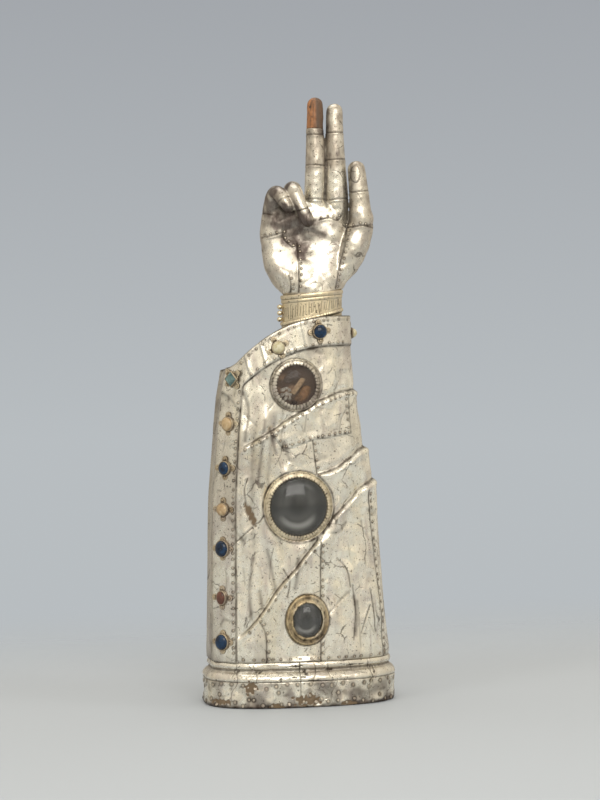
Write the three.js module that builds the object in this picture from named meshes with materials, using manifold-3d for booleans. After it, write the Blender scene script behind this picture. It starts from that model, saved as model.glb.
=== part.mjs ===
// Arm reliquary: a right hand raised in blessing above a wide, draped sleeve, in silver
// sheet nailed over wood. The sleeve has three crystal windows and a hem set with stones,
// a gilded band goes round the wrist, and an oval plinth carries it all.
// Millimetres, +Z up. The origin is the middle of the plinth's underside, and the windows
// and the palm face -Y.
import * as THREE from 'three';
import { mergeVertices } from 'three/addons/utils/BufferGeometryUtils.js';
import Module from 'manifold-3d';

const wasm = await Module();
wasm.setup();

// Gap between two pieces that touch
const clearance = 0.3;

// Plinth: a flat band, a round shoulder, a hollow and a bead below the sleeve
const bandHeight = 27.5;
const shoulderHeight = 8;
const hollowHeight = 2.5;
const beadHeight = 7;
const plinthProjection = 6.4;
const beadProjection = 1.6;
const plinthHeight = bandHeight + shoulderHeight + hollowHeight + beadHeight;

// Sleeve: an oval that narrows upwards, mostly from the right, to a slanted mouth
const sleeveWidth = 187.4;
const sleeveDepth = 86;
const topDepthShare = 0.814;
const sleeveTopDepth = sleeveDepth * topDepthShare;
const sleeveHeight = 351;
const sleeveRoundness = 2.6;
const mouthDrop = 55;
const mouthArch = 2.7;
const mouthTurn = 0.23;
const mouthWall = 3;
const mouthRecess = 6;

// Hem: a nailed strip along the mouth that turns down the left end of the sleeve
const hemWidth = 29;
const hemThickness = 1.6;
const hemStripShare = 0.772;

// Windows: gilded rims round domed crystals
const rimHeight = 4.6;
const rimLip = 1.4;
const rimChamfer = 1.6;
const crystalSeat = 6;
const upperRim = 26.5;
const upperCrystal = 20.7;
const upperDome = 7.5;
const middleRim = 35.8;
const middleCrystal = 30.1;
const middleDome = 12;
const lowerRimWidth = 22.5;
const lowerRimHeight = 25.8;
const lowerCrystalWidth = 14.9;
const lowerCrystalHeight = 18.1;
const lowerDome = 7.5;
const windows = [
  { name: 'upper', share: 0.801, side: 0, rimX: upperRim, rimZ: upperRim,
    crystalX: upperCrystal, crystalZ: upperCrystal, dome: upperDome },
  { name: 'middle', share: 0.45, side: -0.03, rimX: middleRim, rimZ: middleRim,
    crystalX: middleCrystal, crystalZ: middleCrystal, dome: middleDome },
  { name: 'lower', share: 0.122, side: 0, rimX: lowerRimWidth, rimZ: lowerRimHeight,
    crystalX: lowerCrystalWidth, crystalZ: lowerCrystalHeight, dome: lowerDome },
];

// Stones: each on a four-lobed plate with a bezel
const plateReach = 11;
const plateWaist = 6.6;
const plateThickness = 1.2;
const bezelHeight = 2.4;
const bezelWall = 1;

// Wrist and its gilded band, which slants with the mouth
const wristGap = 1.45;
const wristWidth = 58;
const wristDepth = 44;
const bandWall = 1.6;
const bandFillet = 1.3;
const filletHeight = 4.6;
const bandRise = 24;
const buttonSize = 5.2;
const buttonCount = 3;
const wristRoundness = 2.4;
const palmRoundness = 2.3;

// Hand: its length from the top of the mouth to the tip of the middle finger
const handLength = 224;
const handOffset = 1.6;
const bareTipLength = 32;

const sleeveFoot = plinthHeight + clearance;
const mouthTop = plinthHeight + sleeveHeight;
const ringSides = 38;
const frontColumns = 27;
const sleeveRows = 21;
const windowSides = 20;
const stoneSides = 8;
const handSides = 20;
const fingerSides = 10;

// Smooth curve through [place, value] knots
function curveThrough(knots) {
  return (place) => {
    const last = knots.length - 1;
    if (place <= knots[0][0]) return knots[0][1];
    if (place >= knots[last][0]) return knots[last][1];
    const i = knots.findIndex((knot) => knot[0] > place) - 1;
    const slope = (k) => {
      const a = knots[Math.max(k - 1, 0)];
      const b = knots[Math.min(k + 1, last)];
      return (b[1] - a[1]) / (b[0] - a[0]);
    };
    const span = knots[i + 1][0] - knots[i][0];
    const s = (place - knots[i][0]) / span;
    const s2 = s * s;
    const s3 = s2 * s;
    return knots[i][1] * (2 * s3 - 3 * s2 + 1) + slope(i) * span * (s3 - 2 * s2 + s)
      + knots[i + 1][1] * (3 * s2 - 2 * s3) + slope(i + 1) * span * (s3 - s2);
  };
}

const smooth = (low, high, value) => THREE.MathUtils.smoothstep(value, low, high);

// Closed mesh from rings of equal length, listed upwards, each anticlockwise from above
function loft(rings) {
  const sides = rings[0].length;
  const vertices = rings.flat();
  const faces = [];
  for (let r = 0; r + 1 < rings.length; r += 1) {
    for (let i = 0; i < sides; i += 1) {
      const j = (i + 1) % sides;
      const low = r * sides;
      const high = low + sides;
      faces.push([low + i, low + j, high + j], [low + i, high + j, high + i]);
    }
  }
  const middle = (ring) => ring.reduce((sum, p) => sum.add(p), new THREE.Vector3()).divideScalar(sides);
  const foot = vertices.push(middle(rings[0])) - 1;
  const head = vertices.push(middle(rings[rings.length - 1])) - 1;
  const top = (rings.length - 1) * sides;
  for (let i = 0; i < sides; i += 1) {
    const j = (i + 1) % sides;
    faces.push([foot, j, i], [head, top + i, top + j]);
  }
  const geometry = new THREE.BufferGeometry();
  const places = vertices.flatMap((p) => [p.x, p.y, p.z]);
  geometry.setAttribute('position', new THREE.Float32BufferAttribute(places, 3));
  geometry.setIndex(faces.flat());
  return geometry;
}

// Between three.js geometry and solids that can be joined and cut
function toSolid(geometry) {
  const bare = geometry.clone();
  bare.deleteAttribute('normal');
  bare.deleteAttribute('uv');
  const merged = mergeVertices(bare, 1e-4);
  const index = merged.getIndex().array;
  const kept = [];
  for (let i = 0; i < index.length; i += 3) {
    const [a, b, c] = [index[i], index[i + 1], index[i + 2]];
    if (a !== b && b !== c && c !== a) kept.push(a, b, c);
  }
  const vertProperties = new Float32Array(merged.getAttribute('position').array);
  return new wasm.Manifold(new wasm.Mesh({ numProp: 3, vertProperties, triVerts: new Uint32Array(kept) }));
}

function toGeometry(solid) {
  const mesh = solid.getMesh();
  const geometry = new THREE.BufferGeometry();
  geometry.setAttribute('position', new THREE.BufferAttribute(new Float32Array(mesh.vertProperties), 3));
  geometry.setIndex(Array.from(mesh.triVerts));
  return geometry;
}

// Oval outline point at an angle, with a superellipse's squarer ends
function ovalPoint(angle, halfX, halfY, roundness) {
  const power = 2 / roundness;
  const c = Math.cos(angle);
  const s = Math.sin(angle);
  return [Math.sign(c) * Math.abs(c) ** power * halfX, Math.sign(s) * Math.abs(s) ** power * halfY];
}

// Angles that space points evenly along one half of the sleeve's oval
function evenAngles(from, count) {
  const steps = 720;
  const lengths = [0];
  let before = ovalPoint(from, sleeveWidth, sleeveDepth, sleeveRoundness);
  for (let i = 1; i <= steps; i += 1) {
    const here = ovalPoint(from + Math.PI * i / steps, sleeveWidth, sleeveDepth, sleeveRoundness);
    lengths.push(lengths[i - 1] + Math.hypot(here[0] - before[0], here[1] - before[1]));
    before = here;
  }
  return Array.from({ length: count }, (_, k) => {
    const wanted = lengths[steps] * k / count;
    return from + Math.PI * lengths.findIndex((length) => length >= wanted) / steps;
  });
}

const sleeveAngles = [
  ...evenAngles(0, ringSides - frontColumns),
  ...evenAngles(Math.PI, frontColumns),
];

// Sleeve's plan at a height: how far each end draws in, as shares of height and width
const leftDrawIn = curveThrough([[0, 0], [0.35, 0.007], [0.46, 0.013], [0.6, 0.035], [0.75, 0.063],
  [0.84, 0.09], [1, 0.14]]);
const rightDrawIn = curveThrough([[0, 0], [0.13, 0.016], [0.25, 0.042], [0.4, 0.075], [0.52, 0.112],
  [0.61, 0.148], [0.7, 0.173], [0.78, 0.197], [0.9, 0.223], [1, 0.234]]);

function sleevePlan(z) {
  const share = THREE.MathUtils.clamp((z - plinthHeight) / sleeveHeight, 0, 1);
  const left = sleeveWidth * (leftDrawIn(share) - 0.5);
  const right = sleeveWidth * (0.5 - rightDrawIn(share));
  return {
    middle: (left + right) / 2,
    halfX: (right - left) / 2,
    halfY: THREE.MathUtils.lerp(sleeveDepth, sleeveTopDepth, share) / 2,
  };
}

// Mouth: its lip arches from a low left corner to the top right, above a plain sloping
// floor. The slant is turned, so the lip is lower behind than in front.
const mouthRight = sleeveWidth * (0.5 - rightDrawIn(1));
const mouthLeft = sleeveWidth * (leftDrawIn(1 - mouthDrop / sleeveHeight) - 0.5);
const floorSlope = mouthDrop / (mouthRight - mouthLeft);
const slantPlace = (x, y) => x - mouthTurn * (y + sleeveTopDepth * 0.35) - mouthLeft;
const mouthFloor = (x, y) => mouthTop - mouthDrop - mouthRecess + floorSlope * slantPlace(x, y);

function mouthLip(x, y) {
  const across = THREE.MathUtils.clamp(slantPlace(x, y) / (mouthRight - mouthLeft), 0, 1);
  return mouthTop - mouthDrop * (1 - across) ** mouthArch;
}

// Wrist: it rises at the mouth's right end, just inside the wall
const wristX = mouthRight - mouthWall - wristGap - bandFillet - bandWall - clearance - wristWidth / 2;

// Drapery: each fold's edge as [side, height] shares, with how proud it stands just below
// the edge and over what height it sinks back
const folds = [
  { edge: [[-0.8, 0.61], [-0.2, 0.687], [0.08, 0.724], [0.34, 0.751], [0.77, 0.779], [1, 0.782]],
    proud: 2.6, fade: 46 },
  { edge: [[0.12, 0.53], [0.5, 0.557], [0.93, 0.611], [1, 0.613]], proud: 4.6, fade: 26 },
  { edge: [[-0.8, 0.06], [-0.56, 0.123], [-0.31, 0.212], [-0.01, 0.296], [0.16, 0.347], [0.36, 0.409],
    [0.51, 0.443], [0.72, 0.481], [1, 0.522]],
  proud: 3.4, fade: 40 },
];
const foldEdges = folds.map((fold) => curveThrough(fold.edge));
const foldRamp = 5;
const backRelief = 0.55;
const ridgeLine = curveThrough([[0.3, -0.36], [0.42, -0.46], [0.49, -0.52], [0.58, -0.5], [0.74, -0.42]]);
const ridgeProud = 2.2;
const ridgeHalfWidth = 7;

function hemCover(side, x, y, z) {
  const mouthPart = smooth(-2, 2, z - (mouthLip(x, y) - hemWidth));
  const endPart = smooth(hemStripShare - 0.015, hemStripShare + 0.015, -side);
  return Math.max(mouthPart, endPart);
}

// How far the surface stands out from the plain oval
function relief(side, x, y, z) {
  const plan = sleevePlan(z);
  const share = (z - plinthHeight) / sleeveHeight;
  const front = smooth(-plan.halfY * 0.4, plan.halfY * 0.4, -y);
  const amount = THREE.MathUtils.lerp(backRelief, 1, front);
  let drapery = 0;
  folds.forEach((fold, k) => {
    const start = fold.edge[0][0];
    const below = (foldEdges[k](side) - share) * sleeveHeight;
    const within = smooth(start, start + 0.18, side);
    drapery += fold.proud * within * smooth(-foldRamp / 2, foldRamp / 2, below)
      * Math.exp(-Math.max(below, 0) / fold.fade);
  });
  const off = (side - ridgeLine(share)) * plan.halfX / ridgeHalfWidth;
  const length = smooth(0.27, 0.36, share) * (1 - smooth(0.68, 0.76, share));
  drapery += ridgeProud * length * front * Math.exp(-off * off);
  const hem = hemCover(side, x, y, z);
  return amount * drapery * (1 - hem) + hemThickness * hem;
}

// Point and outward direction on the sleeve, by side share, height and front or back
function sleeveSurface(side, z, y, grow = 0) {
  const plan = sleevePlan(z);
  const face = Math.sign(y) || 1;
  const across = Math.min(Math.abs(side), 1);
  const depth = (1 - across ** sleeveRoundness) ** (1 / sleeveRoundness);
  const x = plan.middle + plan.halfX * side;
  const out = new THREE.Vector3(
    Math.sign(side) * across ** (sleeveRoundness - 1) / plan.halfX,
    face * depth ** (sleeveRoundness - 1) / plan.halfY,
    0,
  ).normalize();
  const point = new THREE.Vector3(x, face * depth * plan.halfY, z);
  point.addScaledVector(out, relief(side, x, point.y, z) + grow);
  return { point, out };
}

// Sleeve: rings from the foot to the slanted lip, then down inside to the mouth's floor
function sleeveGeometry(grow = 0) {
  const lipHeight = (side, y) => {
    let z = mouthTop;
    for (let i = 0; i < 8; i += 1) {
      const plan = sleevePlan(z);
      z = mouthLip(plan.middle + plan.halfX * side, plan.halfY * y);
    }
    return z;
  };
  const columns = sleeveAngles.map((angle) => {
    const [side, y] = ovalPoint(angle, 1, 1, sleeveRoundness);
    return { side, y, lip: lipHeight(side, y) };
  });
  const rings = Array.from({ length: sleeveRows + 1 }, (_, row) => columns.map((column) => {
    const z = THREE.MathUtils.lerp(sleeveFoot, column.lip, row / sleeveRows);
    return sleeveSurface(column.side, z, column.y, grow).point;
  }));
  rings[0].forEach((point) => { point.z -= grow; });
  rings[sleeveRows].forEach((point) => { point.z += grow; });
  const inner = columns.map((column, i) => {
    const { out } = sleeveSurface(column.side, column.lip, column.y);
    return rings[sleeveRows][i].clone().addScaledVector(out, -mouthWall - hemThickness);
  });
  const floor = inner.map((point) => (
    new THREE.Vector3(point.x, point.y, mouthFloor(point.x, point.y) + grow)));
  return loft([...rings, inner, floor]);
}

// Frame on the sleeve's surface: side across, up along it, out of it
function seatFrame(side, share, face) {
  const { point, out } = sleeveSurface(side, plinthHeight + sleeveHeight * share, face);
  const up = new THREE.Vector3(0, 0, 1);
  const across = new THREE.Vector3().crossVectors(up, out).normalize();
  return { point, across, up, out };
}

// Turned shapes stand on +Y: set the axis along the frame's way out
function seatTurned(geometry, frame) {
  const basis = new THREE.Matrix4().makeBasis(frame.across, frame.out, frame.up.clone().negate());
  return geometry.applyMatrix4(basis.setPosition(frame.point));
}

function seatFlat(geometry, frame) {
  const basis = new THREE.Matrix4().makeBasis(frame.across, frame.up, frame.out);
  return geometry.applyMatrix4(basis.setPosition(frame.point));
}

function turned(profile, sides) {
  return new THREE.LatheGeometry(profile.map(([r, h]) => new THREE.Vector2(r, h)), sides);
}

const silver = new THREE.MeshStandardMaterial({ color: '#c8bfac', metalness: 1, roughness: 0.34 });
const gilding = new THREE.MeshStandardMaterial({ color: '#c8a765', metalness: 1, roughness: 0.38 });
const wood = new THREE.MeshStandardMaterial({ color: '#a8673a', metalness: 0, roughness: 0.6 });
const crystal = new THREE.MeshStandardMaterial({ color: '#4a4a47', metalness: 0, roughness: 0.05 });
const stoneColours = {
  blue: '#1f3c70', pearl: '#d7cdae', teal: '#5a8280',
  amber: '#cda572', orange: '#c58a4a', garnet: '#6e3c2d',
};
const stones = Object.fromEntries(Object.entries(stoneColours).map(([name, color]) => [
  name, new THREE.MeshStandardMaterial({ color, metalness: 0, roughness: 0.15 }),
]));

const reliquary = new THREE.Group();

function add(name, geometry, material) {
  const mesh = new THREE.Mesh(geometry, material);
  mesh.name = name;
  reliquary.add(mesh);
}

// Plinth: oval rings that follow the sleeve's foot
function plinthGeometry() {
  const ring = (height, projection) => sleeveAngles.map((angle) => {
    const halfX = sleeveWidth / 2 + projection;
    const halfY = sleeveDepth / 2 + projection;
    const [x, y] = ovalPoint(angle, halfX, halfY, sleeveRoundness);
    return new THREE.Vector3(x, y, height);
  });
  const shoulderMiddle = bandHeight + shoulderHeight * 0.45;
  const shoulderTop = bandHeight + shoulderHeight;
  const beadFoot = shoulderTop + hollowHeight;
  return loft([
    ring(0, plinthProjection - 0.6),
    ring(1.5, plinthProjection),
    ring(bandHeight - 2, plinthProjection - 0.5),
    ring(bandHeight, plinthProjection - 0.1),
    ring(shoulderMiddle, plinthProjection * 0.86),
    ring(shoulderTop, plinthProjection * 0.3),
    ring(beadFoot, 0.2),
    ring(beadFoot + beadHeight * 0.45, beadProjection),
    ring(plinthHeight, beadProjection * 0.5),
  ]);
}

add('plinth', plinthGeometry(), silver);

// Windows: each crystal stands in a round pocket, and its rim on a flat seat cut round it
let sleeve = toSolid(sleeveGeometry());

for (const pane of windows) {
  const z = plinthHeight + sleeveHeight * pane.share;
  const plan = sleevePlan(z);
  const edge = pane.rimX / plan.halfX + Math.abs(pane.side);
  const seatY = -plan.halfY * (1 - edge ** sleeveRoundness) ** (1 / sleeveRoundness);
  const frame = {
    point: new THREE.Vector3(plan.middle + plan.halfX * pane.side, seatY, z),
    across: new THREE.Vector3(1, 0, 0),
    up: new THREE.Vector3(0, 0, 1),
    out: new THREE.Vector3(0, -1, 0),
  };
  const oval = (geometry, halfX, halfZ) => seatTurned(geometry.scale(halfX / halfZ, 1, 1), frame);
  const cutter = (halfX, halfZ, depth) => {
    const radius = halfZ + clearance;
    const tall = rimHeight * 4;
    const column = turned([[0, -depth], [radius, -depth], [radius, tall], [0, tall]], windowSides);
    return toSolid(oval(column, halfX + clearance, radius));
  };
  sleeve = sleeve.subtract(cutter(pane.rimX, pane.rimZ, clearance));
  sleeve = sleeve.subtract(cutter(pane.crystalX, pane.crystalZ, crystalSeat + clearance));
  const inner = pane.crystalZ + clearance;
  const rim = turned([[inner, 0], [pane.rimZ, 0], [pane.rimZ, rimHeight * 0.55],
    [pane.rimZ - rimChamfer, rimHeight], [inner + rimLip, rimHeight * 0.85],
    [inner, rimHeight * 0.6], [inner, 0]], windowSides);
  add(`window_rim_${pane.name}`, oval(rim, pane.rimX, pane.rimZ), gilding);
  const girdle = rimHeight * 0.5;
  const dome = [0.35, 0.62, 0.85].map((turn) => [pane.crystalZ * Math.cos(turn * Math.PI / 2),
    girdle + pane.dome * Math.sin(turn * Math.PI / 2)]);
  const body = turned([[0, -crystalSeat], [pane.crystalZ, -crystalSeat], [pane.crystalZ, girdle],
    ...dome, [0, girdle + pane.dome]], windowSides);
  add(`crystal_${pane.name}`, oval(body, pane.crystalX, pane.crystalZ), crystal);
}

add('sleeve', toGeometry(sleeve), silver);

// Stones along the hem: place as shares, half sizes in millimetres, then kind
const setStones = [
  { name: 'hem_1', side: 0.363, share: 0.955, face: -1, halfX: 6.8, halfZ: 6.8, kind: 'blue' },
  { name: 'hem_2', side: -0.316, share: 0.909, face: -1, halfX: 5.8, halfZ: 5.8, kind: 'pearl' },
  { name: 'hem_3', side: -0.915, share: 0.818, face: -1, halfX: 6.6, halfZ: 6.6, kind: 'teal' },
  { name: 'strip_1', side: -0.905, share: 0.689, face: -1, halfX: 6.3, halfZ: 6.7, kind: 'amber' },
  { name: 'strip_2', side: -0.905, share: 0.562, face: -1, halfX: 5.8, halfZ: 6.6, kind: 'blue' },
  { name: 'strip_3', side: -0.9, share: 0.443, face: -1, halfX: 5.9, halfZ: 5.9, kind: 'orange' },
  { name: 'strip_4', side: -0.9, share: 0.33, face: -1, halfX: 7, halfZ: 8, kind: 'blue' },
  { name: 'strip_5', side: -0.905, share: 0.188, face: -1, halfX: 4.8, halfZ: 6.6, kind: 'garnet' },
  { name: 'strip_6', side: -0.9, share: 0.06, face: -1, halfX: 6.8, halfZ: 7.8, kind: 'blue' },
  { name: 'hem_end', side: 0.9995, share: 0.95, face: -1, halfX: 5, halfZ: 5, kind: 'pearl' },
  { name: 'back_1', side: 0.3, share: 0.9425, face: 1, halfX: 6, halfZ: 6, kind: 'pearl' },
  { name: 'back_2', side: -0.45, share: 0.872, face: 1, halfX: 6, halfZ: 6, kind: 'blue' },
  { name: 'back_3', side: -0.85, share: 0.64, face: 1, halfX: 6, halfZ: 6.6, kind: 'amber' },
  { name: 'back_4', side: -0.85, share: 0.25, face: 1, halfX: 6, halfZ: 6.6, kind: 'blue' },
];
const sleeveGrown = toSolid(sleeveGeometry(clearance));

function plateGeometry(bury) {
  const points = Array.from({ length: 12 }, (_, i) => {
    const angle = Math.PI * i / 6;
    const reach = THREE.MathUtils.lerp(plateWaist, plateReach, (1 + Math.cos(4 * angle)) / 2);
    return new THREE.Vector2(Math.cos(angle) * reach, Math.sin(angle) * reach);
  });
  const options = { depth: plateThickness + bury, bevelEnabled: false };
  return new THREE.ExtrudeGeometry(new THREE.Shape(points), options).translate(0, 0, -bury);
}

for (const stone of setStones) {
  const frame = seatFrame(stone.side, stone.share, stone.face);
  const plate = toSolid(seatFlat(plateGeometry(mouthWall), frame));
  const wide = (stone.halfX + bezelWall) / (stone.halfZ + bezelWall);
  const bezelTop = plateThickness + bezelHeight;
  const bezel = turned([[0, 0], [stone.halfZ + bezelWall, 0],
    [stone.halfZ + bezelWall * 0.6, bezelTop], [0, bezelTop]], stoneSides).scale(wide, 1, 1);
  const mount = plate.add(toSolid(seatTurned(bezel, frame))).subtract(sleeveGrown);
  add(`setting_${stone.name}`, toGeometry(mount), gilding);
  const seat = bezelTop + clearance;
  const height = Math.min(stone.halfX, stone.halfZ) * 0.55;
  const gem = turned([[0, seat], [stone.halfZ, seat], [stone.halfZ * 0.8, seat + height * 0.65],
    [0, seat + height]], stoneSides).scale(stone.halfX / stone.halfZ, 1, 1);
  add(`stone_${stone.name}`, seatTurned(gem, frame), stones[stone.kind]);
}

// Wrist and hand: shares of the hand's length, measured from the wrist on the mouth's rim
const handX = wristX + handOffset;
const handPoint = (x, y, z) => (
  new THREE.Vector3(handX + x * handLength, y * handLength, mouthTop + z * handLength));
const wristFoot = (x, y) => mouthFloor(x, y) + 2 * clearance;

// Gilded wrist band's upper and lower edges, slanted like the mouth
const bandDrop = 3;
const bandTop = (x) => mouthTop + bandRise + 0.1 * (x - wristX);
const bandFoot = (x) => mouthTop - bandDrop + 0.24 * (x - wristX);

function ovalRing(centre, halfX, halfY, roundness, sides) {
  return Array.from({ length: sides }, (_, i) => {
    const [x, y] = ovalPoint(2 * Math.PI * i / sides, halfX, halfY, roundness);
    return new THREE.Vector3(centre.x + x, centre.y + y, centre.z);
  });
}

function wristRing(grow, height) {
  const centre = new THREE.Vector3(wristX, 0, 0);
  const ring = ovalRing(centre, wristWidth / 2 + grow, wristDepth / 2 + grow, wristRoundness, handSides);
  ring.forEach((point) => { point.z = height(point.x, point.y); });
  return ring;
}

// Palm: wrist to knuckles as [height, sideways, half width, half depth], hollow in front
const palmStations = [
  [0.129, -0.017, 0.154, 0.097], [0.165, -0.02, 0.176, 0.094], [0.21, -0.023, 0.199, 0.089],
  [0.263, -0.026, 0.212, 0.083], [0.33, -0.03, 0.215, 0.077], [0.397, -0.035, 0.213, 0.07],
  [0.455, -0.037, 0.206, 0.063], [0.5, -0.03, 0.186, 0.05], [0.52, -0.025, 0.165, 0.032],
];
const hollowPlace = { x: -0.085, z: 0.36 };
const hollowReach = { x: 0.12, z: 0.1 };
const hollowDepth = 0.032;

function palmGeometry() {
  const palmRings = palmStations.map(([height, sideways, halfX, halfY]) => ovalRing(
    handPoint(sideways, 0, height), halfX * handLength, halfY * handLength, palmRoundness, handSides));
  for (const point of palmRings.flat()) {
    if (point.y < 0) {
      const across = ((point.x - handX) / handLength - hollowPlace.x) / hollowReach.x;
      const along = ((point.z - mouthTop) / handLength - hollowPlace.z) / hollowReach.z;
      point.y += hollowDepth * handLength * Math.exp(-across * across - along * along);
    }
  }
  return loft([wristRing(0, wristFoot), wristRing(0, (x) => bandTop(x) + clearance), ...palmRings]);
}

// Finger or thumb along a curve of [x, y, z, half width, half depth] stations, its far end
// rounded over unless it is cut flat
function fingerGeometry(stations, steps, flatEnd = false) {
  const curve = new THREE.CatmullRomCurve3(stations.map(([x, y, z]) => handPoint(x, y, z)));
  const knots = stations.map((_, i) => i / (stations.length - 1));
  const halfWidth = curveThrough(stations.map((station, i) => [knots[i], station[3] * handLength]));
  const halfDepth = curveThrough(stations.map((station, i) => [knots[i], station[4] * handLength]));
  const ringAt = (place, centre, scale) => {
    const along = curve.getTangent(place);
    const across = new THREE.Vector3(1, 0, 0).addScaledVector(along, -along.x).normalize();
    const back = new THREE.Vector3().crossVectors(along, across);
    return Array.from({ length: fingerSides }, (_, i) => {
      const angle = 2 * Math.PI * i / fingerSides;
      return centre.clone()
        .addScaledVector(across, Math.cos(angle) * halfWidth(place) * scale)
        .addScaledVector(back, Math.sin(angle) * halfDepth(place) * scale);
    });
  };
  const rings = Array.from({ length: steps + 1 }, (_, i) => (
    ringAt(i / steps, curve.getPoint(i / steps), 1)));
  if (!flatEnd) {
    const ahead = curve.getTangent(1).multiplyScalar(halfDepth(1));
    for (const turn of [0.3, 0.58, 0.82]) {
      const angle = turn * Math.PI / 2;
      rings.push(ringAt(1, curve.getPoint(1).addScaledVector(ahead, Math.sin(angle)), Math.cos(angle)));
    }
  }
  return loft(rings);
}

// Fingers: thumb beside the raised index and middle fingers, ring and little fingers curled
const fingerDepthAtTip = 0.036;
const bareTip = bareTipLength / handLength;
const middleFinger = [
  [0.003, 0.005, 0.4, 0.047, 0.043], [0.004, -0.003, 0.53, 0.047, 0.043],
  [0.008, -0.009, 0.69, 0.046, 0.041], [0.005, -0.01, 1 - bareTip, 0.04, fingerDepthAtTip + 0.001],
];
const fingers = [
  { stations: [[0.107, 0, 0.4, 0.056, 0.046], [0.107, -0.009, 0.54, 0.056, 0.043],
    [0.101, -0.013, 0.715, 0.046, 0.041], [0.097, -0.013, 0.84, 0.041, 0.038],
    [0.097, -0.011, 0.938, 0.038, 0.035]], steps: 7 },
  { stations: [[0.09, -0.02, 0.175, 0.05, 0.05], [0.139, -0.03, 0.232, 0.063, 0.06],
    [0.184, -0.04, 0.321, 0.068, 0.062], [0.213, -0.048, 0.42, 0.057, 0.053],
    [0.206, -0.054, 0.51, 0.049, 0.045], [0.201, -0.056, 0.571, 0.045, 0.042],
    [0.19, -0.054, 0.672, 0.04, 0.038]], steps: 8 },
  { stations: [[-0.093, 0.01, 0.4, 0.044, 0.041], [-0.103, -0.003, 0.49, 0.043, 0.041],
    [-0.107, -0.03, 0.568, 0.042, 0.04], [-0.108, -0.085, 0.562, 0.036, 0.034],
    [-0.085, -0.118, 0.49, 0.03, 0.03], [-0.06, -0.128, 0.43, 0.028, 0.028]], steps: 12 },
  { stations: [[-0.195, 0.012, 0.38, 0.042, 0.04], [-0.198, 0.005, 0.46, 0.042, 0.04],
    [-0.185, -0.022, 0.548, 0.04, 0.038], [-0.172, -0.075, 0.548, 0.033, 0.031],
    [-0.142, -0.105, 0.49, 0.029, 0.029]], steps: 10 },
];

// Gilded wrist band: a plain field with a fillet at each edge
function bandGeometry() {
  const wall = bandWall + clearance;
  const proud = wall + bandFillet;
  const outside = loft([
    wristRing(wall, wristFoot),
    wristRing(wall, (x) => bandFoot(x) - 1),
    wristRing(proud, bandFoot),
    wristRing(proud, (x) => bandFoot(x) + filletHeight * 0.8),
    wristRing(wall, (x) => bandFoot(x) + filletHeight),
    wristRing(wall, (x) => bandTop(x) - filletHeight * 2),
    wristRing(wall + bandFillet / 2, (x) => bandTop(x) - filletHeight * 1.8),
    wristRing(wall + bandFillet / 2, (x) => bandTop(x) - filletHeight),
    wristRing(proud, (x) => bandTop(x) - filletHeight * 0.8),
    wristRing(proud, bandTop),
  ]);
  const bore = loft([
    wristRing(clearance, (x, y) => wristFoot(x, y) - bandWall),
    wristRing(clearance, (x) => bandTop(x) + bandWall),
  ]);
  return toSolid(outside).subtract(toSolid(bore));
}

let hand = toSolid(palmGeometry());
hand = hand.add(toSolid(fingerGeometry(middleFinger, 6, true)));
for (const finger of fingers) hand = hand.add(toSolid(fingerGeometry(finger.stations, finger.steps)));
add('hand', toGeometry(hand), silver);
add('wrist_band', toGeometry(bandGeometry()), gilding);

// Bare wooden end of the middle finger, where the silver is lost
function bareTipGeometry() {
  const [x, y] = middleFinger[middleFinger.length - 1];
  const foot = 1 - bareTip + clearance / handLength;
  const round = fingerDepthAtTip;
  return fingerGeometry([
    [x, y, foot, 0.038, round],
    [x + 0.001, y, foot + bareTip * 0.4, 0.038, round],
    [x + 0.001, y, 1 - round, 0.037, round],
  ], 3);
}

add('bare_fingertip', bareTipGeometry(), wood);

// Ball buttons down the little-finger side of the wrist
for (let i = 0; i < buttonCount; i += 1) {
  const x = wristX - wristWidth / 2 - bandWall - 2 * clearance - buttonSize / 2;
  const lowest = bandFoot(x) + filletHeight + buttonSize * 0.6;
  const highest = bandTop(x) - filletHeight * 1.8 - buttonSize * 0.6;
  const z = THREE.MathUtils.lerp(lowest, highest, i / (buttonCount - 1));
  const ball = new THREE.IcosahedronGeometry(buttonSize / 2, 1).translate(x, 0, z);
  add(`cuff_button_${i + 1}`, ball, gilding);
}

export default reliquary;
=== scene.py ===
import bpy
import numpy as np
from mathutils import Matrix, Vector


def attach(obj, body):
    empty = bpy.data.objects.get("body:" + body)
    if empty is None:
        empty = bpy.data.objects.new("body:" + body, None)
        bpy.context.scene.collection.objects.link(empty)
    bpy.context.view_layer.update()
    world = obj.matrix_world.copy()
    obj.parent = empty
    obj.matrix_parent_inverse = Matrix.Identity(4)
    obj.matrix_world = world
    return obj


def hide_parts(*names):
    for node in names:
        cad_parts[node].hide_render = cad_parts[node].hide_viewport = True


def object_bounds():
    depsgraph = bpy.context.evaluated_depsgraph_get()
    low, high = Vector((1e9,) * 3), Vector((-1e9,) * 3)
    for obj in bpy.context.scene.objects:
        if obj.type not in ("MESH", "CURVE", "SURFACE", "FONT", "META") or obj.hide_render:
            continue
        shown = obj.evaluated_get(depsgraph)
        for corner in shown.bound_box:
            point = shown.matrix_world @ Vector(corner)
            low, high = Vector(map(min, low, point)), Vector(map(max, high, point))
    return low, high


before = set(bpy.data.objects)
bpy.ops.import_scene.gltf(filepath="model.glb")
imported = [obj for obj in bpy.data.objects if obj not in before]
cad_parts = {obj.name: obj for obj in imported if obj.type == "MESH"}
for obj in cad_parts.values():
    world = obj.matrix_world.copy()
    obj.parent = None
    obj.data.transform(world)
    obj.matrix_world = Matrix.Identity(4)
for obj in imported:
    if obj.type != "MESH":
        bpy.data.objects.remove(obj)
cad_low, cad_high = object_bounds()


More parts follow.
